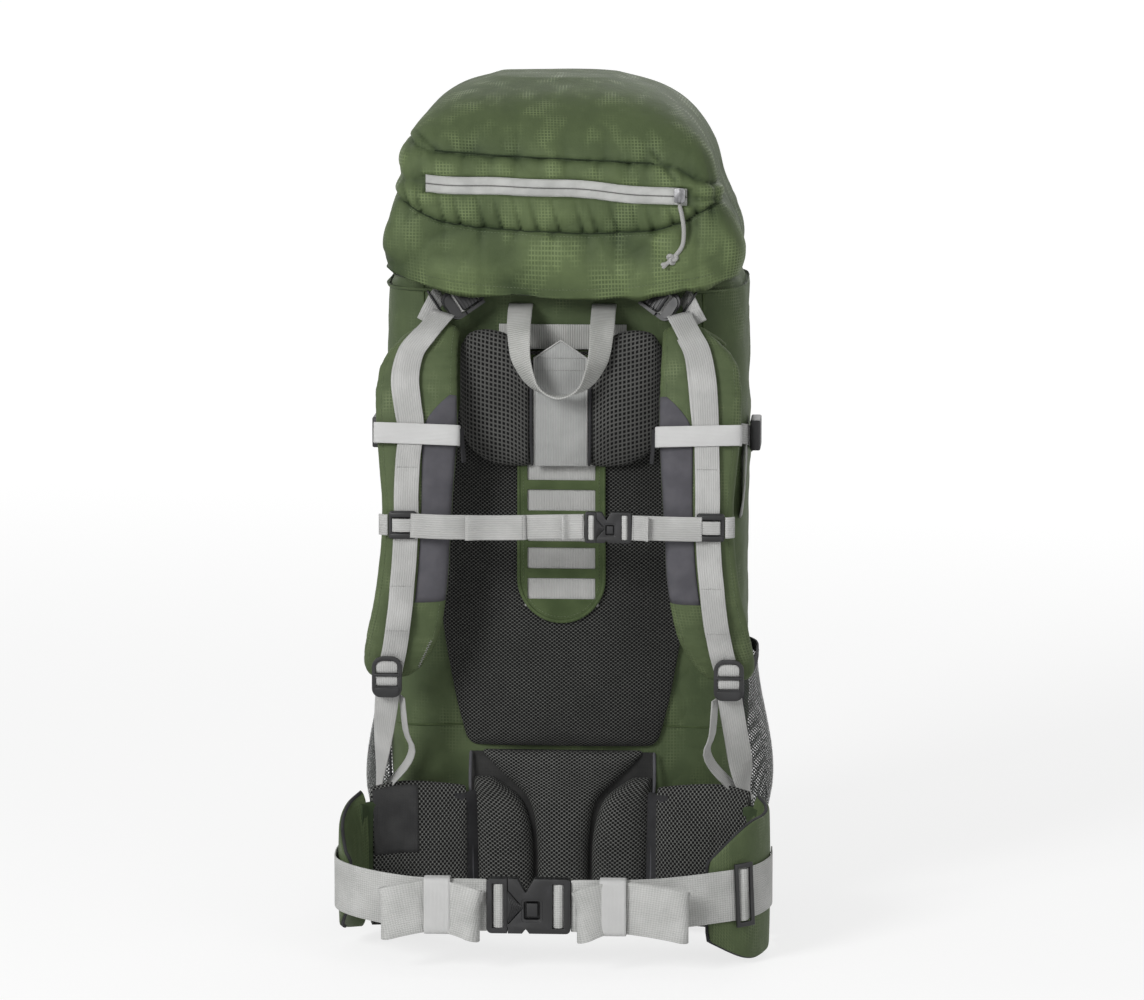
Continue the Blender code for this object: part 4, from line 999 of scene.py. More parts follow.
def make_back_panel():
    """Back pad, and the three lumbar pads on their dark ground with piping at their outer edges."""
    levels = [(z, -half, half) for z, half in BACK_LEVELS]
    upright_pad("back_pad_cover", "back_pad", levels, BACK_THICK, BACK_MESH, 0.06, 90)
    ground = straight((0, PAD_BACK_Y - 0.0006, 0.009), (0, PAD_BACK_Y - 0.0006, 0.177), 12)
    build("lumbar_ground", BASE_CLOTH, [strip(ground, 0.180, RIGHT, 0.0010)], "pack", ())
    levels = [(z, -half, half) for z, half in LUMBAR_CENTRE]
    upright_pad("lumbar_centre_cover", "lumbar_pad_centre", levels, LUMBAR_CENTRE_THICK, LUMBAR_MESH)
    for side, sign in SIDES:
        levels = [(z, *sorted((sign * inner, sign * outer))) for z, inner, outer in LUMBAR_SIDE]
        upright_pad(f"lumbar_cover_{side}", f"lumbar_pad_{side}", levels, LUMBAR_SIDE_THICK, LUMBAR_MESH)
        line = curve_through([mirrored(point, sign) for point in LUMBAR_PIPING], 12)
        build(f"lumbar_piping_{side}", PIPING, [tube(line, 0.0016)], "pack")


# Hard pieces, modelled from blocks

def only(piece):
    """Make one object the selected and active one."""
    bpy.ops.object.select_all(action="DESELECT")
    piece.select_set(True)
    bpy.context.view_layer.objects.active = piece


def block(low, high):
    """Block between two corners, ready to be shaped."""
    low, high = Vector(low), Vector(high)
    bpy.ops.object.select_all(action="DESELECT")
    bpy.ops.mesh.primitive_cube_add(size=1, location=(low + high) / 2)
    piece = bpy.context.object
    piece.scale = high - low
    bpy.ops.object.transform_apply(location=True, rotation=True, scale=True)
    return piece


def round_corners(piece, pick, width, segments):
    """Bevel the edges whose two ends pick both accepts."""
    only(piece)
    bpy.ops.object.mode_set(mode="EDIT")
    bpy.ops.mesh.select_mode(type="EDGE")
    bpy.ops.mesh.select_all(action="DESELECT")
    bpy.ops.object.mode_set(mode="OBJECT")
    verts = piece.data.vertices
    for edge in piece.data.edges:
        start, stop = (verts[corner].co for corner in edge.vertices)
        along_y = abs(start.x - stop.x) + abs(start.z - stop.z) < 1e-6
        edge.select = along_y and pick(start) and pick(stop)
    bpy.ops.object.mode_set(mode="EDIT")
    bpy.ops.mesh.bevel(offset=width, segments=segments, affect="EDGES")
    bpy.ops.object.mode_set(mode="OBJECT")


def apply(piece, kind, **settings):
    """Add a modifier, set it and apply it."""
    only(piece)
    change = piece.modifiers.new(kind.lower(), kind)
    for key, value in settings.items():
        setattr(change, key, value)
    bpy.ops.object.modifier_apply(modifier=change.name)


def carve(piece, *blocks):
    """Take blocks out of a piece."""
    for cutter in blocks:
        apply(piece, "BOOLEAN", operation="DIFFERENCE", object=cutter, solver="EXACT")
        bpy.data.objects.remove(cutter, do_unlink=True)


def join(name, *pieces):
    """Make several pieces one object."""
    only(pieces[0])
    for piece in pieces:
        piece.select_set(True)
    bpy.ops.object.join()
    joined = bpy.context.object
    joined.name = name
    joined.data.name = name
    return joined


def soften(piece, width, segments, angle):
    """Bevel the edges that are sharper than an angle in degrees."""
    apply(piece, "BEVEL", width=width, segments=segments, limit_method="ANGLE",
          angle_limit=math.radians(angle))


def moulding(piece, name, width, body, stands_for, matrix=None, material=PLASTIC):
    """Soften a shaped block's edges, carry it to its place and give it its finish."""
    soften(piece, width, 3, 35)
    only(piece)
    if matrix is not None:
        piece.matrix_world = matrix
        bpy.ops.object.transform_apply(location=True, rotation=True, scale=True)
    bpy.ops.object.shade_smooth_by_angle(angle=math.radians(38))
    piece.name = name
    piece.data.name = name
    piece.data.materials.clear()
    piece.data.materials.append(material)
    settle(piece, body, stands_for)


def placing(origin, along=RIGHT, up=UP):
    """Matrix that carries a local shape to its place, its x along one direction and its z near another."""
    along = along.normalized()
    inward = up.cross(along).normalized()
    up = along.cross(inward)
    turn = Matrix((along, inward, up)).transposed().to_4x4()
    return Matrix.Translation(origin) @ turn


LOCK_HALF = 0.0145
LOCK_HEIGHT = 0.040
LOCK_WINDOW_HALF = 0.0108
LOCK_WEBBING = 0.0208


def ladder_lock():
    """Adjuster for webbing: an arched frame, two windows and a lip that stands forward."""
    frame_block = block((-LOCK_HALF, -0.0040, -LOCK_HEIGHT), (LOCK_HALF, 0, 0))
    round_corners(frame_block, lambda place: place.z > -0.001, 0.0105, 7)
    round_corners(frame_block, lambda place: place.z < -LOCK_HEIGHT + 0.001, 0.0085, 6)
    upper = block((-LOCK_WINDOW_HALF, -THROUGH, -0.0165), (LOCK_WINDOW_HALF, THROUGH, -0.0036))
    round_corners(upper, lambda place: place.z > -0.005, 0.0075, 6)
    lower = block((-LOCK_WINDOW_HALF, -THROUGH, -0.0292), (LOCK_WINDOW_HALF, THROUGH, -0.0190))
    carve(frame_block, upper, lower)
    lip = block((-0.0118, -0.0058, -0.0395), (0.0118, -0.0036, -0.0305))
    round_corners(lip, lambda place: place.z < -0.039, 0.0075, 6)
    bar = block((-0.0128, -0.0052, -0.0190), (0.0128, -0.0036, -0.0166))
    return join("ladder_lock", frame_block, lip, bar)


def lock_webbing(name, matrix, body):
    """Webbing that shows in a ladder-lock's two windows as it passes over the bars."""
    skins = []
    for high, low in ((-0.0042, -0.0166), (-0.0188, -0.0290)):
        path = []
        for step, z in enumerate(spread(high, low, 8)):
            bulge = 0.0022 * math.sin(math.pi * step / 8) ** 0.6
            path.append(matrix @ Vector((0, -0.0004 - bulge, z)))
        skins.append(strip(path, LOCK_WEBBING, matrix.to_3x3() @ RIGHT, THIN_WEBBING))
    build(name, WEBBING, skins, body)


# Harness

YOKE_BACK_Y = -0.1396
YOKE_THICK = 0.0184
YOKE_VALLEY_THICK = 0.0080
# Half of the yoke, from its end to its middle: (distance out, low edge, high edge, share of its thickness)
YOKE_HALF = ((0.0980, 0.505, 0.580, 1.0), (0.0880, 0.481, 0.594, 1.0), (0.0680, 0.467, 0.597, 1.0),
             (0.0480, 0.4635, 0.590, 1.0), (0.0330, 0.464, 0.572, 0.8), (0.0280, 0.465, 0.567, 0.0),
             (0.0100, 0.465, 0.565, 0.0))
YOKE_BINDING = ((0.0275, -0.150, 0.4655), (0.0285, -0.1525, 0.49), (0.0285, -0.1525, 0.53),
                (0.0285, -0.1515, 0.562))
# One leg of the haul loop, from its root to its middle
HAUL_LEG = ((-0.0405, -0.1175, 0.6190), (-0.0405, -0.136, 0.612), (-0.0400, -0.156, 0.596),
            (-0.0365, -0.168, 0.570), (-0.0230, -0.172, 0.545), (0, -0.173, 0.5355))
TAB_HALF_WIDTH = 0.026
TAB_LOW_Z = 0.465
TAB_PEAK_Z = 0.5875
TAB_SHOULDER_Z = TAB_PEAK_Z - 0.017
# Shoulder straps: (distance out, y, height) along their middle, then their half widths there
STRAP_POINTS = ((0.1345, -0.1285, 0.582), (0.1330, -0.141, 0.597), (0.1335, -0.158, 0.595),
                (0.1345, -0.178, 0.567), (0.1355, -0.195, 0.510), (0.1355, -0.205, 0.430),
                (0.1400, -0.203, 0.360), (0.1500, -0.192, 0.305), (0.1600, -0.180, 0.274),
                (0.1650, -0.174, 0.260))
STRAP_HALF_WIDTHS = (0.031, 0.0335, 0.034, 0.037, 0.039, 0.034, 0.0345, 0.0355, 0.030, 0.021)
STRAP_THICK = 0.014
STRAP_STEPS = 9
# Upper part of a strap pad: (height, inner edge, outer edge)
STRAP_ARCH = ((0.440, 0.1010, 0.1695), (0.500, 0.0965, 0.1755), (0.545, 0.0975, 0.1770),
              (0.567, 0.0980, 0.1735), (0.582, 0.0985, 0.1650), (0.592, 0.0985, 0.1530),
              (0.600, 0.0985, 0.1400))
# Webbing on the strap pads: (height, distance out)
STRAP_LINE = {"left": ((0.590, 0.1290), (0.576, 0.1410), (0.554, 0.1455), (0.530, 0.1430), (0.508, 0.1400),
                       (0.480, 0.1432), (0.446, 0.1448), (0.420, 0.1448)),
              "right": ((0.590, 0.1255), (0.576, 0.1345), (0.554, 0.1400), (0.530, 0.1424),
                        (0.508, 0.1434), (0.480, 0.1442), (0.446, 0.1450), (0.420, 0.1450))}
STRAP_WEBBING_SHIFT = 0.009
LIFTER_LOCK = Vector((0.0955, -0.134, 0.6255))
LIFTER_RUN = Vector((0.75, -0.42, -0.50)).normalized()
# Fixed loop of the lifter: its root, then the steps from there, and its eye: (across, forward)
LIFTER_ROOT = (0.1180, -0.1190, 0.6290)
LIFTER_LOOP = ((0, 0, 0), (0.004, -0.010, -0.004), (0.010, -0.0175, -0.016), (0.015, -0.0155, -0.026))
LIFTER_EYE = ((-0.0100, -0.0016), (-0.0108, 0.0022), (0.0108, 0.0022), (0.0100, -0.0016))
BAND_Z = 0.5015
BAND_HALF_WIDTH = 0.040
BAND_HALF_HEIGHT = 0.010
# Section of the band: (how far it stands out, place from its low edge at -1 to its high edge at 1)
BAND_SECTION = ((0.0004, -1), (0.0013, -1), (0.0017, -0.9), (0.0017, -0.3), (0.0017, 0.3), (0.0017, 0.9),
                (0.0013, 1), (0.0004, 1), (0.0002, 0.3), (0.0002, -0.3))
# Lower webbing: its place on the bag's corner, where it enters the bag, how early it twists, and its tail
LOWER_FOOT = Vector((0.182, -0.126, 0.130))
LOWER_ROOT = ((0.1740, -0.1100, 0.1180), (0.1460, -0.0900, 0.1080))
LOWER_TWIST = {"left": 0.20, "right": 0.62}
LOWER_TAIL = ((0.1520, -0.1885, 0.2440), (0.1490, -0.1800, 0.2080), (0.1435, -0.1740, 0.1900),
              (0.1500, -0.1620, 0.1720), (0.1660, -0.1440, 0.1510), (0.1790, -0.1270, 0.1330),
              (0.1720, -0.1090, 0.1190), (0.1440, -0.0890, 0.1080))


def make_ladder():
    """Green panel with windows over a light webbing strip, for setting the harness height."""
    bottom = LADDER_LOW_Z + LADDER_HALF_WIDTH
    foot = [(-LADDER_HALF_WIDTH * math.cos(turn), bottom - LADDER_HALF_WIDTH * math.sin(turn))
            for turn in spread(0, math.pi, 30)]
    plate = upright_plate(foot + [(LADDER_HALF_WIDTH, LADDER_HIGH_Z), (-LADDER_HALF_WIDTH, LADDER_HIGH_Z)],
                          LADDER_BACK_Y, 0.0022)
    panel = build("ladder_cover", EDGE_GREEN, [plate], "pack", ["ladder_panel"])
    cutters = []
    for window in range(WINDOW_COUNT):
        low = LADDER_LOW_Z + WINDOW_MARGIN + WINDOW_PITCH * window
        lean = 0.0012 * math.sin(window * 2.1)
        cutters.append(block((-WINDOW_HALF_WIDTH, LADDER_BACK_Y - THROUGH, low + lean),
                             (WINDOW_HALF_WIDTH, LADDER_BACK_Y + THROUGH, low + lean + WINDOW_HEIGHT)))
    carve(panel, *cutters)
    soften(panel, 0.0008, 2, 50)
    flat_map(panel)

    def led_up(line):
        """A line round the foot, led up to the top at both ends."""
        first, last = [Vector((point.x, point.y, LADDER_HIGH_Z)) for point in (line[0], line[-1])]
        return [first] + line + [last]

    rim = [Vector((x * 0.965, LADDER_BACK_Y - 0.0020, z + 0.0015 * (z < bottom))) for x, z in foot]
    build("ladder_binding", EDGE_GREEN, [tube(led_up(rim), 0.0019)], "pack")
    inner = [Vector((x * 0.86, LADDER_BACK_Y - 0.0024, bottom + (z - bottom) * 0.86)) for x, z in foot]
    build("ladder_stitching", THREAD, stitches(led_up(inner)), "pack")
    strip_y = LADDER_BACK_Y + 0.0008
    middle = straight((0, strip_y, LADDER_LOW_Z + 0.016), (0, strip_y, LADDER_LOW_Z + 0.259), 30)
    build("ladder_strip", WINDOW_CLOTH, [strip(middle, 0.072, RIGHT, 0.0011)], "pack", ["ladder_webbing"])


def upright_plate(outline, y, thick):
    """Flat plate with an outline of (x, z) points, from y towards the wearer."""
    return skin([[Vector((x, depth, z)) for x, z in outline] for depth in (y, y - thick)], wrap=True)


def flat_map(piece):
    """Cloth map of an upright flat piece, straight from its x and z."""
    layer = piece.data.uv_layers["cloth"]
    for corner, spot in zip(piece.data.loops, layer.data):
        place = piece.data.vertices[corner.vertex_index].co
        spot.uv = (place.x, place.z)


def make_top_webbing():
    """Bar of webbing across the top of the back, and the haul loop in front of it."""
    low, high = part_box("top_webbing_bar")
    middle = (low.z + high.z) / 2
    run = [Vector((x, (low.y + high.y) / 2 - 0.0010 * math.cos(x * 30), middle))
           for x in spread(low.x, high.x, 24)]
    build("top_bar_webbing", HAUL_WEBBING, [strip(run, high.z - low.z, UP)], "pack", ["top_webbing_bar"])
    path = curve_through(list(HAUL_LEG) + [mirrored(point, -1) for point in reversed(HAUL_LEG[:-1])], 10)
    across = []
    for share in spread(0, 1, len(path) - 1):
        turn = math.pi * ease(share, 0, 1)
        across.append(Vector((math.cos(turn), -math.sin(turn), 0)))
    build("haul_handle", HAUL_WEBBING, [strip(path, STRAP_WEBBING, across, 0.0022)], "haul_loop",
          ["haul_loop"])


def make_yoke():
    """Yoke pad with a lobe on each side of the valley that its webbing tab lies in."""
    columns = [(-x, *others) for x, *others in YOKE_HALF] + list(reversed(YOKE_HALF))
    stations = []
    path = curve_through(columns, 8)
    for place, (x, low, high, full) in enumerate(path):
        share = place / (len(path) - 1)
        lobe = YOKE_VALLEY_THICK + (YOKE_THICK - YOKE_VALLEY_THICK) * min(1, max(0, full))
        deep = lobe * (0.25 + 0.75 * end_round(share, 0.11))
        stations.append((Vector((x, YOKE_BACK_Y, (low + high) / 2)), UP, NEAR, (high - low) / 2, deep))
    make_pad("yoke_cover", YOKE_MESH, stations, "harness", "yoke_pad", YOKE_SECTION, LOW_SWELL)
    make_yoke_tab()
    for side, sign in SIDES:
        line = curve_through([mirrored(point, sign) for point in YOKE_BINDING], 8)
        build(f"yoke_binding_{side}", BINDING, [tube(line, 0.0016)], "harness")


def make_yoke_tab():
    """House-topped tab of webbing in the yoke's valley, with its raised edge and two rows of stitches."""
    tab_y = YOKE_BACK_Y - YOKE_VALLEY_THICK - 0.0003
    outline = [(-TAB_HALF_WIDTH, TAB_LOW_Z), (TAB_HALF_WIDTH, TAB_LOW_Z), (TAB_HALF_WIDTH, TAB_SHOULDER_Z),
               (0, TAB_PEAK_Z), (-TAB_HALF_WIDTH, TAB_SHOULDER_Z)]
    plate = upright_plate(outline, tab_y, 0.0020)
    tab = build("yoke_tab_webbing", LADDER_CLOTH, [plate], "harness", ["yoke_tab"])
    soften(tab, 0.0006, 2, 50)
    flat_map(tab)
    edge = [Vector((x * 0.985, tab_y - 0.0021, z)) for x, z in outline[1:] + outline[:1]]
    build("yoke_tab_edge", WEBBING, [tube(edge, 0.0011)], "harness")
    rows = []
    for z in (0.5705, 0.5585):
        rows += stitches([Vector((x, tab_y - 0.0023, z)) for x in (-0.0235, 0.0235)], 0.0022, 0.0016)
    build("yoke_tab_stitching", PALE_THREAD, rows, "harness")


def strap_frames(sign):
    """Stations along one shoulder strap: (centre, outward direction, half width, share of length)."""
    path = curve_through([mirrored(point, sign) for point in STRAP_POINTS], STRAP_STEPS)
    widths = curve_through([(width, 0) for width in STRAP_HALF_WIDTHS], STRAP_STEPS)
    frames = []
    for place, (point, forward, width) in enumerate(zip(path, tangents(path), widths)):
        outward = Vector((0, forward.z, -forward.y)).normalized()
        frames.append((point, outward, width.x, place / (len(path) - 1)))
    return frames


def strap_front(sign, z):
    """Centre and outward direction of a strap where it passes one height on its way down."""
    frames = strap_frames(sign)
    downward = frames[2 * STRAP_STEPS:]
    for (point_a, out_a, *_), (point_b, out_b, *_) in zip(downward, downward[1:]):
        if point_b.z <= z <= point_a.z:
            share = (point_a.z - z) / (point_a.z - point_b.z)
            return point_a.lerp(point_b, share), out_a.lerp(out_b, share).normalized()
    return frames[-1][0], frames[-1][1]


def strap_thick(share):
    """Thickness of a strap pad at a share of its length."""
    return STRAP_THICK * (0.35 + 0.65 * end_round(share, 0.10))


def strap_wrinkles(place, _):
    """Creases across a strap pad where it bends over the shoulder, and faint ones lower down."""
    sharp = abs(noise.noise(Vector((place.x * 14, 2.0, place.z * 105)))) - 0.25
    soft = noise.noise(place * 24)
    bend = hump(place.z, 0.553, 0.022) + 0.30 + 0.5 * hump(place.z, 0.30, 0.03)
    return 0.0022 * min(0.0, sharp) * bend + 0.0006 * soft


def make_strap(side, sign):
    """Shoulder strap: its pad, the slate panel on it, stitching, webbing and band."""
    frames = strap_frames(sign)
    stations = []
    for point, outward, half, share in frames:
        thick = strap_thick(share)
        width = half * (0.75 + 0.25 * end_round(share, 0.05))
        middle = point.x
        if point.z > STRAP_ARCH[0][0]:
            inner, outer = value_at(STRAP_ARCH, point.z)
            width = (outer - inner) / 2 * (0.75 + 0.25 * end_round(share, 0.05))
            middle = sign * (outer + inner) / 2
        centre = Vector((middle, point.y, point.z))
        stations.append((centre - outward * thick / 2, RIGHT, outward, width, thick))
    cover = make_pad(f"strap_cover_{side}", STRAP_GREEN, stations, "harness", f"strap_pad_{side}",
                     STRAP_SECTION, LOW_SWELL)
    emboss(cover, strap_wrinkles, 0.003)
    inner = -sign * 0.985

    def slate_edges(place):
        if not 0.335 < place.z < 0.540:
            return None
        return inner, inner + sign * 0.84 * ease(place.z, 0.541, 0.500) ** 0.5

    panel = stations[30:]
    build(f"strap_panel_{side}", SLATE, [patch(cover, panel, slate_edges, STRAP_SECTION)], "harness")
    threads = []
    for wide in (-0.86, 0.86):
        line = [onto(cover, pad_point(station, wide, STRAP_SECTION), 0.0002) for station in stations[14:-5]]
        threads += stitches(line, 0.0036, 0.0024)
    build(f"strap_stitching_{side}", THREAD, threads, "harness")
    if side == "left":
        slant = laid(cover, straight((-0.123, 0, 0.300), (-0.1415, 0, 0.260), 8), 0.0004)
        zigzag = [point + RIGHT * (0.0011 if step % 2 else -0.0011)
                  for step, (point, _) in enumerate(along_path(slant, 0.0016))]
        build("strap_bartack", PALE_THREAD, [tube(zigzag, 0.0004, 5)], "harness", ())
    make_strap_webbing(side, sign, frames)
    make_band(side, sign)


def make_strap_webbing(side, sign, frames):
    """Webbing that arches from the lifter buckle onto the strap, with a second layer above the band."""
    lift = STRAP_THICK / 2 + WEBBING_THICK / 2 + 0.0012
    lock_end = mirrored(LIFTER_LOCK, sign) + mirrored(LIFTER_RUN, sign) * LOCK_HEIGHT * 0.60
    route = [lock_end]
    under = []
    for z, x in STRAP_LINE[side]:
        point, outward = strap_front(sign, z)
        route.append(Vector((sign * x, point.y, z)) + outward * lift)
        if z > BAND_Z:
            aside = 0.0038 * hump(z, 0.545, 0.04)
            under.append(Vector((sign * x - aside, point.y, z)) + outward * (lift - 0.0017))
    for point, outward, _, share in frames[:-6:3]:
        if point.z < 0.405 and share > 0.4:
            shift = STRAP_WEBBING_SHIFT * min(1, 3 * (1 - share))
            ripple = 0.0034 * hump(point.z, 0.322, 0.008) + 0.0030 * hump(point.z, 0.349, 0.007)
            route.append(point + outward * (lift + ripple) + RIGHT * sign * shift)
    path = curve_through(route, 7)
    layers = [strip(path, STRAP_WEBBING, RIGHT),
              strip(curve_through(under, 7), STRAP_WEBBING, RIGHT, 0.0012)]
    piece = build(f"strap_webbing_run_{side}", WEBBING, layers, None, [f"strap_webbing_{side}"])
    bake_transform(piece)
    rows = []
    for z in (0.3555, 0.3100, 0.4735):
        point = min(path, key=lambda spot: abs(spot.z - z)) + NEAR * 0.0011
        rows += stitches([point - RIGHT * 0.0095, point + RIGHT * 0.0095], 0.0020, 0.0015)
    build(f"webbing_stitching_{side}", PALE_THREAD, rows, "harness")


def make_band(side, sign):
    """Elastic band round the strap and its webbing."""
    centre, outward = strap_front(sign, BAND_Z)
    down = outward.cross(RIGHT).normalized()
    rows = []
    for extra, end in BAND_SECTION:
        half = BAND_HALF_WIDTH + extra
        front = STRAP_THICK / 2 + WEBBING_THICK + 0.0018 + extra
        back = STRAP_THICK / 2 + 0.0008 + extra
        loop = []
        for step in range(64):
            turn = math.pi * 1.5 + 2 * math.pi * step / 64
            wide = math.copysign(abs(math.cos(turn)) ** (1 / 3), math.cos(turn))
            deep = math.copysign(abs(math.sin(turn)) ** (1 / 3), math.sin(turn))
            tilt = 0.0012 * wide * sign
            loop.append(centre + RIGHT * wide * half + outward * deep * (front if deep > 0 else back)
                        + down * (end * BAND_HALF_HEIGHT + tilt))
        rows.append(loop)
    rows.append(rows[0])
    build(f"band_{side}", ELASTIC, [ring(rows)], "harness", [f"strap_band_{side}"])
    edge = centre - RIGHT * sign * (BAND_HALF_WIDTH + 0.0030)
    tab = [edge - UP * fall - RIGHT * sign * inward
           for fall, inward in ((-0.006, 0), (0.004, 0), (0.016, 0.0012), (0.027, 0.0022))]
    facing = (RIGHT * 0.5 + NEAR * sign).normalized()
    build(f"band_tab_{side}", BINDING, [strip(curve_through(tab, 4), 0.0075, facing)], "harness")


def ring(rows):
    """Skin of loops that close on themselves, the last loop being the first again."""
    points, faces, places = skin(rows, wrap=True)
    columns = len(rows[0])
    last = (len(rows) - 1) * columns
    faces = [tuple(corner - last if corner >= last else corner for corner in face) for face in faces[:-2]]
    return points[:last], faces, places[:-2]


def make_locks(side, sign):
    """Ladder-lock at the foot of a strap, the lifter's buckle, and the lower webbing down to the bag."""
    low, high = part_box(f"strap_lock_{side}")
    seat = placing(Vector(((low.x + high.x) / 2, high.y, high.z)))
    moulding(ladder_lock(), f"ladder_lock_{side}", 0.0008, f"strap_lock_{side}", [f"strap_lock_{side}"],
             seat)
    lock_webbing(f"lock_webbing_{side}", seat, f"strap_lock_{side}")
    make_lifter(side, sign)
    lock_foot = Vector(((low.x + high.x) / 2, high.y + 0.0052, high.z + 0.006 - LOCK_HEIGHT))
    foot = mirrored(LOWER_FOOT, sign)
    halfway = lock_foot.lerp(foot, 0.5) + NEAR * 0.003
    path = curve_through([lock_foot + UP * 0.012, lock_foot, halfway, foot], 12)
    last = len(path) - 1
    across = []
    for place in range(last + 1):
        turn = math.radians(78) * ease(place / last, LOWER_TWIST[side], 1.0)
        across.append(Vector((math.cos(turn), sign * math.sin(turn), 0)))
    roots = curve_through([path[-1]] + [mirrored(root, sign) for root in LOWER_ROOT], 8)[1:]
    for place in range(len(roots)):
        across.append(across[last].lerp(Vector((0.2, sign * 0.4, 0.9)), ease(place / 8, 0, 1)).normalized())
    path += roots
    tail = curve_through([mirrored(point, sign) for point in LOWER_TAIL], 3)
    slant = Vector((0.42, sign * 0.90, 0.12))
    runs = [strip(path, STRAP_WEBBING, across), strip(tail, STRAP_WEBBING * 0.6, slant, THIN_WEBBING)]
    piece = build(f"lower_webbing_run_{side}", WEBBING, runs, None, [f"lower_webbing_{side}"])
    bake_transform(piece)


def make_lifter(side, sign):
    """Cam buckle of the load lifter: a ribbed lever between cheeks, on a ladder-lock, and its fixed loop."""
    run = mirrored(LIFTER_RUN, sign)
    hinge = mirrored(LIFTER_LOCK, sign) - run * LOCK_HEIGHT * 0.47
    seat = placing(hinge, NEAR.cross(run), -run)
    lever = block((-0.0100, -0.0092, -0.0275), (0.0100, -0.0040, -0.0085))
    soften(lever, 0.0035, 4, 35)
    ribs = [block((-0.0088, -0.0101, z - 0.0007), (0.0088, -0.0085, z + 0.0007))
            for z in (-0.0130, -0.0165, -0.0200, -0.0235)]
    cheeks = [block((x - 0.0016, -0.0070, -0.0250), (x + 0.0016, -0.0005, -0.0040))
              for x in (-0.0128, 0.0128)]
    body = join("lifter_buckle", ladder_lock(), lever, *ribs, *cheeks)
    moulding(body, f"lifter_buckle_{side}", 0.0007, f"lifter_lock_{side}", [f"lifter_lock_{side}"], seat)
    lock_webbing(f"lifter_webbing_{side}", seat, f"lifter_lock_{side}")
    root = mirrored(LIFTER_ROOT, sign)
    loop = curve_through([root + mirrored(step, sign) for step in LIFTER_LOOP], 8)
    across = Vector((0.55, 0, 0.83 * sign))
    build(f"lifter_anchor_{side}", WEBBING, [strip(loop, 0.017, across)], "pack")
    eye = [loop[10] + across * wide + NEAR * deep for wide, deep in LIFTER_EYE]
    build(f"lifter_bar_{side}", PLASTIC, [tube(curve_through(eye, 6), 0.0011, 8)], "pack")


# Sternum strap

STERNUM_Z = 0.4165
# Where each half's webbing starts and ends, and where it lies doubled: (from, to, lean at its start)
STERNUM_SPANS = {"left": (-0.140, 0.0273), "right": (0.0727, 0.140)}
STERNUM_DOUBLED = {"left": ((-0.087, -0.0287, 0.28), (0.0060, 0.0268, 0.0)),
                   "right": ((0.0890, 0.0732, 0.0),)}
STERNUM_BUCKLE = Vector((0.050, -0.2222, STERNUM_Z))
STERNUM_BUCKLE_SCALE = 0.56


def make_sternum():
    """Sternum strap: on each side its slider and its webbing, and the buckle between them."""
    for side, sign in SIDES:
        low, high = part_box(f"sternum_strap_{side}")
        depth = (low.y + high.y) / 2
        sternum_slider(side, sign, depth)
        sternum_half(side, depth)
    side_release("sternum_buckle", STERNUM_BUCKLE, STERNUM_BUCKLE_SCALE, "sternum_left", "sternum_right")


def sternum_slider(side, sign, depth):
    """Slider on a strap's webbing, the turn of webbing through it and the webbing's short outer end."""
    body = f"sternum_slider_{side}"
    low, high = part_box(body)
    plate = block(low, high)
    round_corners(plate, lambda place: True, 0.0030, 4)
    middle = (low + high) / 2
    carve(plate, block((middle.x - 0.0098, low.y - THROUGH, middle.z - 0.0068),
                       (middle.x + 0.0098, high.y + THROUGH, middle.z + 0.0068)))
    bars = [block((low.x + 0.0015, low.y - 0.0022, z - 0.0023),
                  (high.x - 0.0015, low.y + 0.0010, z + 0.0023))
            for z in (low.z + 0.0034, high.z - 0.0034)]
    moulding(join("slider_plate", plate, *bars), f"strap_slider_{side}", 0.0009, body, [body])
    turn = [Vector((middle.x + 0.0095 * share, low.y - 0.0006 - 0.0016 * math.cos(share * 1.5), STERNUM_Z))
            for share in spread(-1, 1, 12)]
    edge = Vector((sign * 0.1622, depth + 0.0030, STERNUM_Z))
    end = [edge + Vector((sign * 0.0085 * share, 0.0050 * share ** 2, 0)) for share in spread(0, 1, 6)]
    skins = [strip(turn, 0.0128, UP, THIN_WEBBING), strip(end, STRAP_WEBBING * 0.86, UP)]
    build(f"slider_webbing_{side}", WEBBING, skins, body)


def sternum_half(side, depth):
    """Webbing of one half of the sternum strap, with its doubled parts and their stitches."""
    start, stop = STERNUM_SPANS[side]

    def laid_at(x, lift=0.0):
        slack = 0.0022 * math.sin((x - start) * 62) * hump(x, -0.105, 0.030)
        return Vector((x, depth - lift - slack, STERNUM_Z - 0.0012 * math.sin((x - start) * 24)))

    skins = [strip([laid_at(x) for x in spread(start, stop, 48)], STRAP_WEBBING, UP)]
    threads = []
    for first, last, lean in STERNUM_DOUBLED[side]:
        path = [laid_at(x, 0.0019 + 0.0048 * hump(step, 0.5, 3.0))
                for step, x in enumerate(spread(first, last, 16))]
        across = [(UP + RIGHT * lean * (1 - share)).normalized() for share in spread(0, 1, 16)]
        skins.append(strip(path, STRAP_WEBBING * 1.02, across))
        edge = path[-2] + NEAR * 0.0010
        threads += stitches([edge - UP * 0.011, edge + UP * 0.011], 0.0021, 0.0015)
    build(f"sternum_webbing_{side}", WEBBING, skins, f"sternum_{side}", [f"sternum_strap_{side}"])
    build(f"sternum_stitching_{side}", PALE_THREAD, threads, f"sternum_{side}")


# Side-release buckles

# How far a cutting block reaches to either side of a buckle, and how much of a wedge's end is left
DEEP = 0.02
WEDGE_END = 0.06


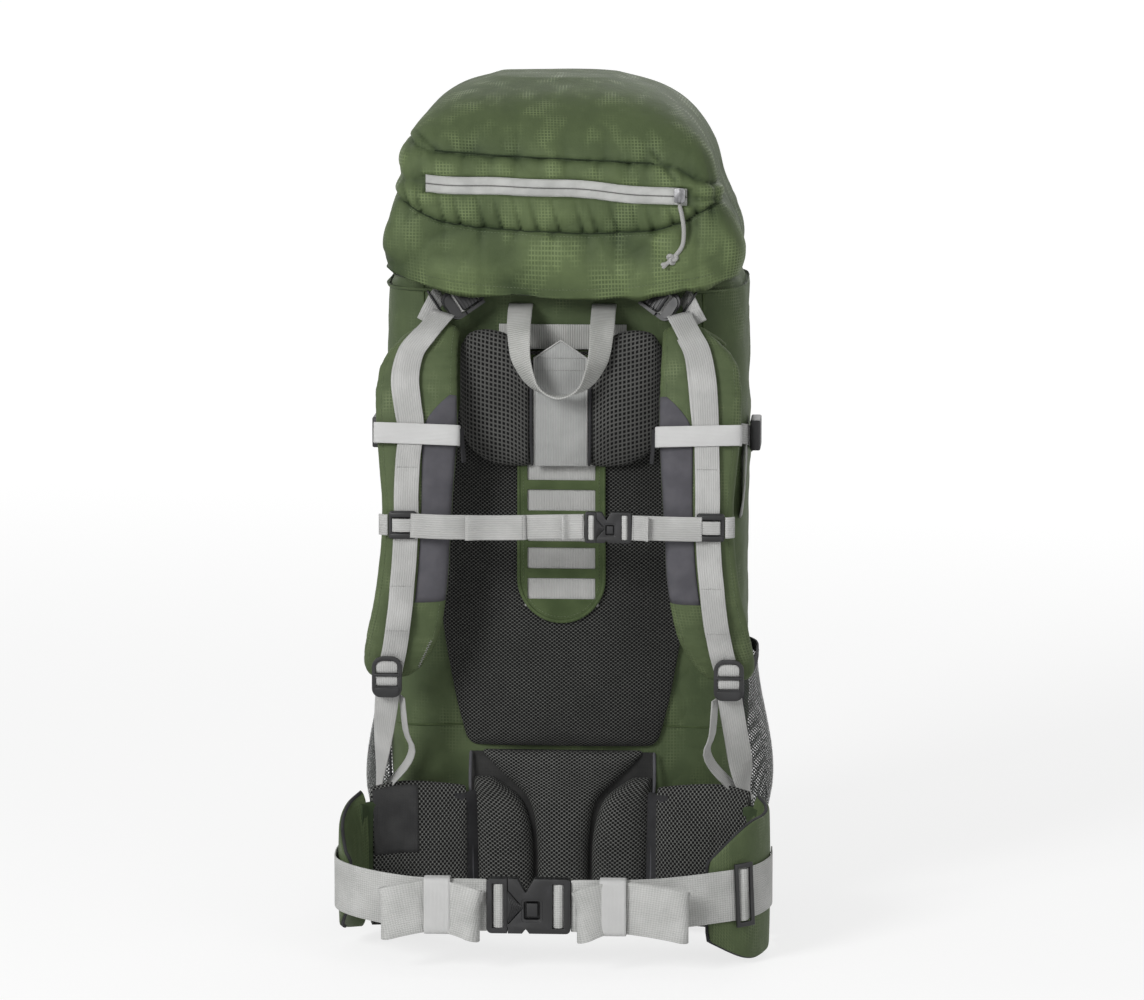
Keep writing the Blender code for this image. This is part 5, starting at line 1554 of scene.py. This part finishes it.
def side_release(name, centre, scale, tongue_body, socket_body):
    """Side-release buckle. The tongue half is on the left, the socket half on the right. The corners of its
    blocks are distances from its centre at full scale."""
    def solid(x0, y0, z0, x1, y1, z1):
        return block(Vector((x0, y0, z0)) * scale + centre, Vector((x1, y1, z1)) * scale + centre)

    def drawn_in(piece, axis, end):
        """Draw the end of a block in to an edge, for a wedge."""
        other = 2 - axis
        middle = sum(vert.co[axis] for vert in piece.data.vertices) / 8
        level = sum(vert.co[other] for vert in piece.data.vertices) / 8
        for vert in piece.data.vertices:
            if (vert.co[axis] - middle) * end > 0:
                vert.co[other] = level + (vert.co[other] - level) * WEDGE_END
        return piece

    tongue = solid(-0.0400, -0.0058, -0.0265, -0.0205, 0.0058, 0.0265)
    round_corners(tongue, lambda place: place.x < centre.x - 0.039 * scale, 0.0045 * scale, 4)
    carve(tongue, solid(-0.0350, -DEEP, -0.0215, -0.0240, DEEP, 0.0215))
    nose = drawn_in(solid(-0.0212, -0.0048, -0.0190, -0.0066, 0.0048, 0.0160), 0, 1)
    fork = join(f"{name}_fork", tongue, nose)
    moulding(fork, f"{name}_prong_half", 0.0010 * scale, tongue_body, [f"{name}_tongue"])
    socket = solid(-0.0198, -0.0060, -0.0265, 0.0400, 0.0060, 0.0265)
    round_corners(socket, lambda place: place.x > centre.x + 0.039 * scale, 0.0045 * scale, 4)
    window = solid(-0.0045, -DEEP, -0.0130, 0.0110, 0.0020, 0.0050)
    round_corners(window, lambda place: True, 0.002 * scale, 3)
    ring_cut = solid(-0.0068, -DEEP, -0.0153, 0.0133, -0.0052, 0.0073)
    round_corners(ring_cut, lambda place: True, 0.003 * scale, 3)
    carve(socket, drawn_in(solid(-0.0240, -DEEP, -0.0232, -0.0058, DEEP, 0.0202), 0, 1),
          drawn_in(solid(-0.0130, -DEEP, 0.0135, 0.0075, DEEP, 0.0300), 2, -1),
          drawn_in(solid(-0.0090, -DEEP, -0.0300, 0.0035, DEEP, -0.0225), 2, 1), ring_cut)
    carve(socket, solid(0.0225, -DEEP, -0.0215, 0.0335, DEEP, 0.0215), window)
    button = solid(-0.0020, -0.0035, -0.0105, 0.0085, 0.0020, 0.0025)
    case = join(f"{name}_body", socket, button)
    moulding(case, f"{name}_socket_half", 0.0010 * scale, socket_body, [f"{name}_socket"])
    ribs = []
    for step in range(8):
        x = -0.0205 + 0.0017 * step
        high = 0.0155 * (1 - step / 9)
        arrow = ((x, -0.0048, -0.0015 - high), (x + 0.004, -0.0052, -0.0015), (x, -0.0048, -0.0015 + high))
        ribs.append(tube([centre + Vector(point) * scale for point in arrow], 0.00055 * scale, 6))
    build(f"{name}_ribs", PLASTIC, ribs, tongue_body)
    for side, sign, body in (("left", -1, tongue_body), ("right", 1, socket_body)):
        path = []
        for turn in spread(0, math.pi, 12):
            bend = Vector((sign * 0.0285 + 0.0062 * math.cos(turn), 0.0035 - 0.0085 * math.sin(turn), 0))
            path.append(centre + bend * scale)
        build(f"{name}_webbing_{side}", BELT_CLOTH, [strip(path, 0.0425 * scale, UP, THIN_WEBBING)], body)


# Side pockets and compression straps

POCKET_LOW_Z = 0.030
POCKET_TALL = 0.225
POCKET_MIDDLE_Y = 0.008
POCKET_HALF_WIDTH = 0.080
POCKET_FULL = 0.026
NET_THICK = 0.0007
# Slots of a compression buckle along it, and their distance from its edges
SLOT_SPANS = ((0.006, 0.013), (0.033, 0.040))
SLOT_MARGIN = 0.0045
COMPRESSION_Z = 0.489


def make_pocket(side, sign):
    """Stretch net pocket with an elastic rim, drawn in at its mouth."""
    columns = 40
    grid = []
    for rise in spread(0, 1, 34):
        z = POCKET_LOW_Z + POCKET_TALL * rise
        line = []
        for along in spread(-1, 1, columns):
            full = (1 - along ** 4) * min(1, 2.4 * rise) ** 0.5 * (1 - 0.72 * ease(rise, 0.45, 1.0))
            y = POCKET_MIDDLE_Y + POCKET_HALF_WIDTH * along
            x = bag_side_x(y, z) + 0.0018 + POCKET_FULL * full
            line.append(Vector((sign * x, y, z)))
        grid.append(line + [point - RIGHT * sign * NET_THICK for point in reversed(line)])
    sheet = build(f"pocket_net_{side}", NET, [skin(grid, wrap=True)], "pack", [f"side_pocket_{side}"])
    wide = sum((b - a).length for a, b in zip(grid[16][:columns], grid[16][1:columns + 1]))
    tall = sum((b[20] - a[20]).length for a, b in zip(grid, grid[1:]))
    rim = grid[-1][:columns + 1]
    edge = [line[0] for line in grid] + rim[1:-1] + [line[columns] for line in reversed(grid)]
    skins = [strip(rim, 0.012, UP, 0.0024), tube(edge, 0.0014, 6)]
    build(f"pocket_rim_{side}", BINDING, skins, "pack", ())


def make_compression(side, sign):
    """Strap on the bag's side with its buckle, and the strap's loose tail."""
    low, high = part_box(f"compression_buckle_{side}")
    frame_block = block(low, high)
    for start, stop in SLOT_SPANS:
        carve(frame_block, block((low.x - THROUGH, low.y + start, low.z + SLOT_MARGIN),
                                 (high.x + THROUGH, low.y + stop, high.z - SLOT_MARGIN)))
    moulding(frame_block, f"side_buckle_{side}", 0.0018, "pack", [f"compression_buckle_{side}"])
    run = []
    for share in spread(0, 1, 30):
        y = -0.082 + 0.150 * share
        x = bag_side_x(y, COMPRESSION_Z) + 0.0020
        run.append(Vector((sign * x, y, COMPRESSION_Z - 0.030 * share)))
    tail = []
    for share in spread(0, 1, 12):
        y, z = -0.066 - 0.022 * share, 0.474 - 0.066 * share
        x = bag_side_x(y, z) + 0.0016 + 0.004 * share
        tail.append(Vector((sign * x, y, z)))
    skins = [strip(run, SIDE_WEBBING, UP), strip(tail, SIDE_WEBBING, Vector((0, 0.92, 0.38)))]
    build(f"side_webbing_{side}", WEBBING, skins, "pack", [f"compression_strap_{side}"])


# Hip belt

WING_THICK = 0.013
# Wings and their tips: (x, y) along their middle, then (low edge, high edge) there
WING_POINTS = ((0.0925, -0.1385), (0.120, -0.1445), (0.155, -0.1500), (0.1845, -0.1640))
WING_LOW_HIGH = ((0.016, 0.146), (0.010, 0.150), (0.008, 0.152), (0.010, 0.148))
TIP_POINTS = {"left": ((0.1895, -0.1690), (0.2005, -0.190), (0.2040, -0.222), (0.1975, -0.256)),
              "right": ((0.1895, -0.1690), (0.1980, -0.192), (0.1975, -0.228), (0.1825, -0.262),
                        (0.149, -0.281))}
TIP_LOW_HIGH = {"left": ((0.010, 0.147), (0.014, 0.138), (0.024, 0.124), (0.044, 0.100)),
                "right": ((0.010, 0.147), (0.009, 0.142), (0.006, 0.140), (0.007, 0.136), (0.026, 0.104))}
# Cloth from the wing's inner end to behind the lumbar pad: (x, y)
WING_ROOT = ((0.1050, -0.1400), (0.0955, -0.1372), (0.0880, -0.1290), (0.0820, -0.1200))
WING_ROOT_Z = 0.081
WING_ROOT_TALL = 0.118
# Soft joint between wing and tip: (x, y)
TIP_JOINT = ((0.1800, -0.1612), (0.1850, -0.1646), (0.1890, -0.1684), (0.1920, -0.1735), (0.1945, -0.1790))
TIP_JOINT_Z = 0.0785
TIP_JOINT_TALL = 0.112
BELT_CLOTH_THICK = 0.0060
BELT_SIDE_Z = 0.076
BELT_FRONT_Z = 0.0665
HIP_BUCKLE = Vector((-0.020, -0.317, BELT_FRONT_Z))
BUCKLE_BAR_REACH = 0.0435
BELT_JOINS = {"left": Vector((-0.172, -0.2910, 0)), "right": Vector((0.124, -0.2990, 0))}
KEEPER_X = {"left": -0.107, "right": 0.0605}
KEEPER_THICK = 0.0014
TRIGLIDE_AT = (0.180, -0.276)
BOW_OUTER = {"left": 0.054, "right": 0.072}
BOW_LAYER = 0.0032
BOW_DROOP = 0.0090
# Bends of the slack at its outer and its inner end: (layer, how far out from that end)
BOW_OUTER_LOOP = ((1.0, -0.030), (0.9, -0.009), (1.9, -0.001), (3.6, -0.006), (3.4, -0.024))
BOW_INNER_LOOP = ((2.2, 0.016), (2.1, 0.006), (3.2, 0.0), (4.9, 0.005), (4.6, 0.016))


def wing_stations(points, heights, sign, blunt_start, blunt_end):
    """Stations of a padded belt wing along its plan line. Its crowned face looks in, towards the wearer."""
    path = curve_through([(sign * x, y, 0) for x, y in points], 14)
    spans = curve_through(heights, 14)
    stations = []
    for place, (point, forward, span) in enumerate(zip(path, tangents(path), spans)):
        share = place / (len(path) - 1)
        inward = forward.cross(UP).normalized() * sign
        full = 1.0
        if not blunt_start:
            full = min(full, 0.35 + 0.65 * end_round(min(share, 0.5), 0.10))
        if not blunt_end:
            full = min(full, 0.35 + 0.65 * end_round(max(share, 0.5), 0.10))
        thick = WING_THICK * full
        centre = point + UP * (span.x + span.y) / 2 - inward * thick / 2
        stations.append((centre, UP, inward, (span.y - span.x) / 2, thick))
    return stations


def belt_run(side, sign):
    """Path of the belt webbing from the outside of its wing tip to its bar on the buckle."""
    line = [Vector((sign * x, y, 0)) for x, y in TIP_POINTS[side]]
    outside = [point + UP.cross(forward).normalized() * sign * (WING_THICK / 2 + 0.0030)
               for point, forward in zip(line, tangents(line))]
    bar_x = HIP_BUCKLE.x + sign * BUCKLE_BAR_REACH
    front_y = HIP_BUCKLE.y + 0.0010
    join_at = BELT_JOINS[side]
    halfway = Vector(((join_at.x + bar_x) / 2, front_y + 0.003, 0))
    path = curve_through(outside[1:] + [join_at, halfway, Vector((bar_x, front_y, 0))], 8)
    for place, point in enumerate(path):
        point.z = BELT_SIDE_Z + (BELT_FRONT_Z - BELT_SIDE_Z) * min(1, 1.35 * place / (len(path) - 1))
    return path


def slack_bow(side, sign, path):
    """Spare webbing that turns round the buckle's bar and lies in front of the belt in a flat bow."""
    middle_x = KEEPER_X[side]
    outer_x = middle_x + sign * BOW_OUTER[side]
    inner_x = path[-1].x + sign * 0.0035
    flat_y = min(point.y for point in path)

    def spot(x, layer, back=0.0):
        return Vector((x + sign * back, flat_y - BOW_LAYER * layer, BELT_FRONT_Z))

    def droop(point):
        end = outer_x if (point.x - middle_x) * sign > 0 else inner_x
        return UP * BOW_DROOP * min(1.0, abs(point.x - middle_x) / abs(end - middle_x)) ** 1.6

    under = [path[-1], spot(path[-1].x, 0.5, -0.0015), spot(path[-1].x, 1, 0.001), spot(middle_x, 1)]
    loops = [spot(outer_x, layer, back) for layer, back in BOW_OUTER_LOOP] + [spot(middle_x, 2)]
    loops += [spot(inner_x, layer, back) for layer, back in BOW_INNER_LOOP] + [spot(middle_x, 3, -0.004)]
    bow = curve_through(under + loops, 8)[1:]
    first = len(under) * 8 - 9
    return bow[:first] + [point - droop(point) for point in bow[first:]]


def make_belt(side, sign):
    """One side of the hip belt: wing, tip, the cloth between them, webbing, stitches and keeper."""
    body = f"belt_{side}"
    wing = wing_stations(WING_POINTS, WING_LOW_HIGH, sign, False, True)
    cover = make_pad(f"wing_cover_{side}", LUMBAR_MESH, wing, "pack", f"belt_wing_{side}", BELT_SECTION)
    tip = wing_stations(TIP_POINTS[side], TIP_LOW_HIGH[side], sign, True, False)
    make_pad(f"tip_cover_{side}", GREEN, tip, body, f"belt_tip_{side}", BELT_SECTION, LOW_SWELL)
    root = [Vector((sign * x, y, WING_ROOT_Z)) for x, y in WING_ROOT]
    cloth = strip(curve_through(root, 6), WING_ROOT_TALL, UP, BELT_CLOTH_THICK)
    build(f"wing_root_{side}", BINDING, [cloth], "pack")
    cross = [Vector((sign * x, y, TIP_JOINT_Z)) for x, y in TIP_JOINT]
    cloth = strip(curve_through(cross, 6), TIP_JOINT_TALL, UP, BELT_CLOTH_THICK)
    joint = build(f"tip_joint_{side}", DARK_GREEN, [cloth])
    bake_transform(joint)
    edge = [pad_point(station, 0.99, BELT_SECTION) for station in tip[2:]]
    edge += [pad_point(tip[-1], wide, BELT_SECTION) for wide in (0.8, 0.4, 0, -0.4, -0.8)]
    edge += [pad_point(station, -0.99, BELT_SECTION) for station in reversed(tip[len(tip) // 2:])]
    build(f"tip_binding_{side}", BINDING, [tube(edge, 0.0017)], body)
    if side == "left":
        sewn = patch(cover, wing, lambda place: (0.04, 0.96) if place.x < -0.140 else None, BELT_SECTION)
        build("wing_patch", PATCH_CLOTH, [sewn], "pack")
    path = belt_run(side, sign)
    run = strip(path + slack_bow(side, sign, path), BELT_WEBBING, UP)
    build(f"belt_webbing_run_{side}", BELT_CLOTH, [run], body, [f"belt_webbing_{side}"])
    threads = []
    for place in (1, 3):
        outward = UP.cross(path[place + 1] - path[place]).normalized() * sign * -0.0011
        spot = path[place] + outward
        threads += stitches([spot - UP * 0.022, spot + UP * 0.022], 0.0026, 0.0018)
    build(f"belt_stitching_{side}", PALE_THREAD, threads, body)
    make_keeper(side, body)
    return path


def make_keeper(side, body):
    """Elastic keeper round the folded slack."""
    low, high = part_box(f"belt_keeper_{side}")
    middle = (low + high) / 2
    rows = []
    for extra, x in ((0.0, low.x), (0.0012, low.x), (KEEPER_THICK, low.x + 0.002),
                     (KEEPER_THICK, high.x - 0.002), (0.0012, high.x), (0.0, high.x)):
        half_deep = (high.y - low.y) / 2 - KEEPER_THICK + extra
        half_tall = (high.z - low.z) / 2 - KEEPER_THICK + extra
        loop = []
        for turn in directions(40):
            tall = math.copysign(abs(math.sin(turn)) ** 0.22, math.sin(turn))
            deep = math.copysign(abs(math.cos(turn)) ** 0.5, math.cos(turn))
            loop.append(Vector((x, middle.y + deep * half_deep, middle.z + tall * half_tall)))
        rows.append(loop)
    rows.append(rows[0])
    build(f"keeper_{side}", ELASTIC, [ring(rows)], body, [f"belt_keeper_{side}"])


def make_triglide(path):
    """Flat frame on the right run of belt webbing."""
    spot = min(path, key=lambda point: abs(point.x - TRIGLIDE_AT[0]) + abs(point.y - TRIGLIDE_AT[1]))
    place = path.index(spot)
    forward = (path[place + 1] - path[place - 1]).normalized()
    outward = UP.cross(forward).normalized()
    plate = block((-0.010, -0.0036, -0.031), (0.010, 0, 0.031))
    carve(plate, block((-0.0062, -THROUGH, -0.0265), (0.0062, THROUGH, 0.0265)))
    seat = placing(spot + outward * 0.0022, -forward)
    moulding(plate, "belt_adjuster", 0.0009, "belt_right", ["belt_triglide"], seat)
    turn = [seat @ Vector((0.0058 * share, 0.0008 - 0.0036 * math.cos(share * 1.5), 0))
            for share in spread(-1, 1, 12)]
    build("adjuster_webbing", BELT_CLOTH, [strip(turn, 0.0505, UP, THIN_WEBBING)], "belt_right")


# Far side, frame and zip slider

# Closing straps of the lid: how far out they are, and their (y, height) down the far side
LID_STRAP_X = 0.085
LID_STRAP_RUN = ((0.1385, 0.690), (0.1395, 0.655), (0.1370, 0.630), (0.1330, 0.600), (0.1325, 0.571))


def make_lid_straps(side, sign):
    """Closing straps on the far side, with their buckles."""
    run = curve_through([(sign * LID_STRAP_X, y, z) for y, z in LID_STRAP_RUN], 8)
    build(f"lid_webbing_{side}", WEBBING, [strip(run, SIDE_WEBBING, RIGHT)], "lid", [f"lid_strap_{side}"])
    low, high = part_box(f"lid_buckle_{side}")
    body = block(low, high)
    left, right = low.x + 0.003, high.x - 0.003
    carve(body, block((left, low.y + 0.0025, low.z + 0.009), (right, high.y - 0.0025, high.z + THROUGH)),
          block((left, low.y - THROUGH, low.z + 0.003), (right, high.y + THROUGH, low.z + 0.0075)))
    moulding(body, f"lid_clip_{side}", 0.0012, "pack", [f"lid_buckle_{side}"])


def finish_frame():
    """Metal and plastic of the frame inside the bag."""
    for node, material in (("frame_hoop", ALUMINIUM), ("frame_sheet", FRAME_SHEET)):
        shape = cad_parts[node]
        shape.data.materials.clear()
        shape.data.materials.append(material)


def make_slider():
    """Zip slider: a rounded body with a bridge along its front."""
    low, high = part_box("zip_slider")
    body = block((low.x, low.y + 0.0026, low.z), (high.x, high.y, high.z))
    round_corners(body, lambda place: True, 0.0028, 4)
    middle = (low.x + high.x) / 2
    bridge = block((middle - 0.0014, low.y, low.z + 0.0005),
                   (middle + 0.0014, low.y + 0.003, high.z - 0.001))
    runner = join("slider_body", body, bridge)
    moulding(runner, "zip_runner", 0.0007, "zip_slider", ["zip_slider"], None, SLIDER_METAL)


# Stage, lamps and camera

# Lamps: (name, place, target, size, power)
LAMPS = (("key_light", (-2.3, -3.7, 2.3), (0, 0, 0.45), 1.6, 138),
         ("fill_light", (2.6, -2.8, 1.4), (0, 0, 0.40), 2.4, 18),
         ("back_light", (0.6, 3.2, 2.6), (0, 0, 0.50), 2.4, 30))
WORLD_STRENGTH = 0.31
SENSOR_WIDTH = 36.0
CLIP_END = 400.0


def make_stage():
    """Pale floor. What the lens sees of it is lifted to white away from the lamps, and keeps the shadow."""
    bpy.ops.object.select_all(action="DESELECT")
    bpy.ops.mesh.primitive_plane_add(size=FLOOR_SIZE)
    floor = bpy.context.object
    floor.name = "studio_floor"
    paint = Finish("studio_floor", Roughness=1.0, Specular_IOR_Level=0.0, Emission_Strength=1.0)
    seen = paint.node("ShaderNodeLightPath", output="Is Camera Ray")
    seen = seen + paint.node("ShaderNodeLightPath", output="Is Glossy Ray")
    seen = (seen + paint.node("ShaderNodeLightPath", output="Is Transmission Ray")).smaller(1.0)
    place = paint.node("ShaderNodeTexCoord", output="Object")
    away = paint.node("ShaderNodeVectorMath", {"operation": "LENGTH"}, [place],
                      output="Value").step(1.0, 5.0)
    glow = paint.mix(away, (0.75, 0.75, 0.75, 1), (0.93, 0.93, 0.93, 1))
    paint.feed(paint.shader.inputs["Emission Color"], paint.mix(seen, (0, 0, 0, 1), glow))
    floor.data.materials.append(paint.wear(paint.mix(seen, (0.9, 0.9, 0.9, 1), (0.28, 0.28, 0.28, 1))))


def make_world():
    """White surroundings that light the pack softly, and that the lens sees as plain white."""
    world = bpy.data.worlds.new("studio")
    world.use_nodes = True
    tree = world.node_tree
    back = tree.nodes["Background"]
    light_path = tree.nodes.new("ShaderNodeLightPath")
    seen = tree.nodes.new("ShaderNodeMath")
    seen.operation = "MAXIMUM"
    also = tree.nodes.new("ShaderNodeMath")
    also.operation = "MAXIMUM"
    level = tree.nodes.new("ShaderNodeMapRange")
    level.inputs["To Min"].default_value = WORLD_STRENGTH
    level.inputs["To Max"].default_value = 1.0
    tree.links.new(light_path.outputs["Is Camera Ray"], seen.inputs[0])
    tree.links.new(light_path.outputs["Is Glossy Ray"], seen.inputs[1])
    tree.links.new(seen.outputs[0], also.inputs[0])
    tree.links.new(light_path.outputs["Is Transmission Ray"], also.inputs[1])
    tree.links.new(also.outputs[0], level.inputs["Value"])
    tree.links.new(level.outputs[0], back.inputs["Strength"])
    back.inputs["Color"].default_value = (1, 1, 1, 1)
    bpy.context.scene.world = world


def make_lamp(name, place, target, size, power):
    """Round area lamp that points at a target."""
    lamp = bpy.data.lights.new(name, "AREA")
    lamp.shape = "DISK"
    lamp.size = size
    lamp.energy = power
    holder = bpy.data.objects.new(name, lamp)
    holder.location = place
    holder.rotation_euler = (Vector(target) - Vector(place)).to_track_quat("-Z", "Y").to_euler()
    bpy.context.collection.objects.link(holder)


def make_camera():
    """Camera of the photograph."""
    camera = bpy.data.cameras.new("photo_view")
    camera.lens = VIEW_LENS
    camera.sensor_width = SENSOR_WIDTH
    camera.shift_x, camera.shift_y = VIEW_SHIFT
    camera.clip_end = CLIP_END
    holder = bpy.data.objects.new("photo_view", camera)
    back = Vector((math.sin(VIEW_AZIMUTH) * math.cos(VIEW_ELEVATION),
                   -math.cos(VIEW_AZIMUTH) * math.cos(VIEW_ELEVATION), math.sin(VIEW_ELEVATION)))
    holder.location = VIEW_TARGET + back * VIEW_DISTANCE
    holder.rotation_euler = (-back).to_track_quat("-Z", "Y").to_euler()
    bpy.context.collection.objects.link(holder)
    bpy.context.scene.camera = holder


# The pack, piece by piece

make_camera()
make_world()
for lamp_row in LAMPS:
    make_lamp(*lamp_row)
make_stage()
make_bag()
make_base()
make_collar()
make_lid()
make_zip()
make_slider()
make_pull()
make_back_panel()
make_ladder()
make_top_webbing()
make_yoke()
make_sternum()
for side, sign in SIDES:
    make_strap(side, sign)
    make_locks(side, sign)
    make_pocket(side, sign)
    make_compression(side, sign)
    make_lid_straps(side, sign)
    belt_path = make_belt(side, sign)
make_triglide(belt_path)
side_release("hip_buckle", HIP_BUCKLE, 1.0, "belt_left", "belt_right")
finish_frame()

bpy.context.scene.view_settings.view_transform = "Standard"
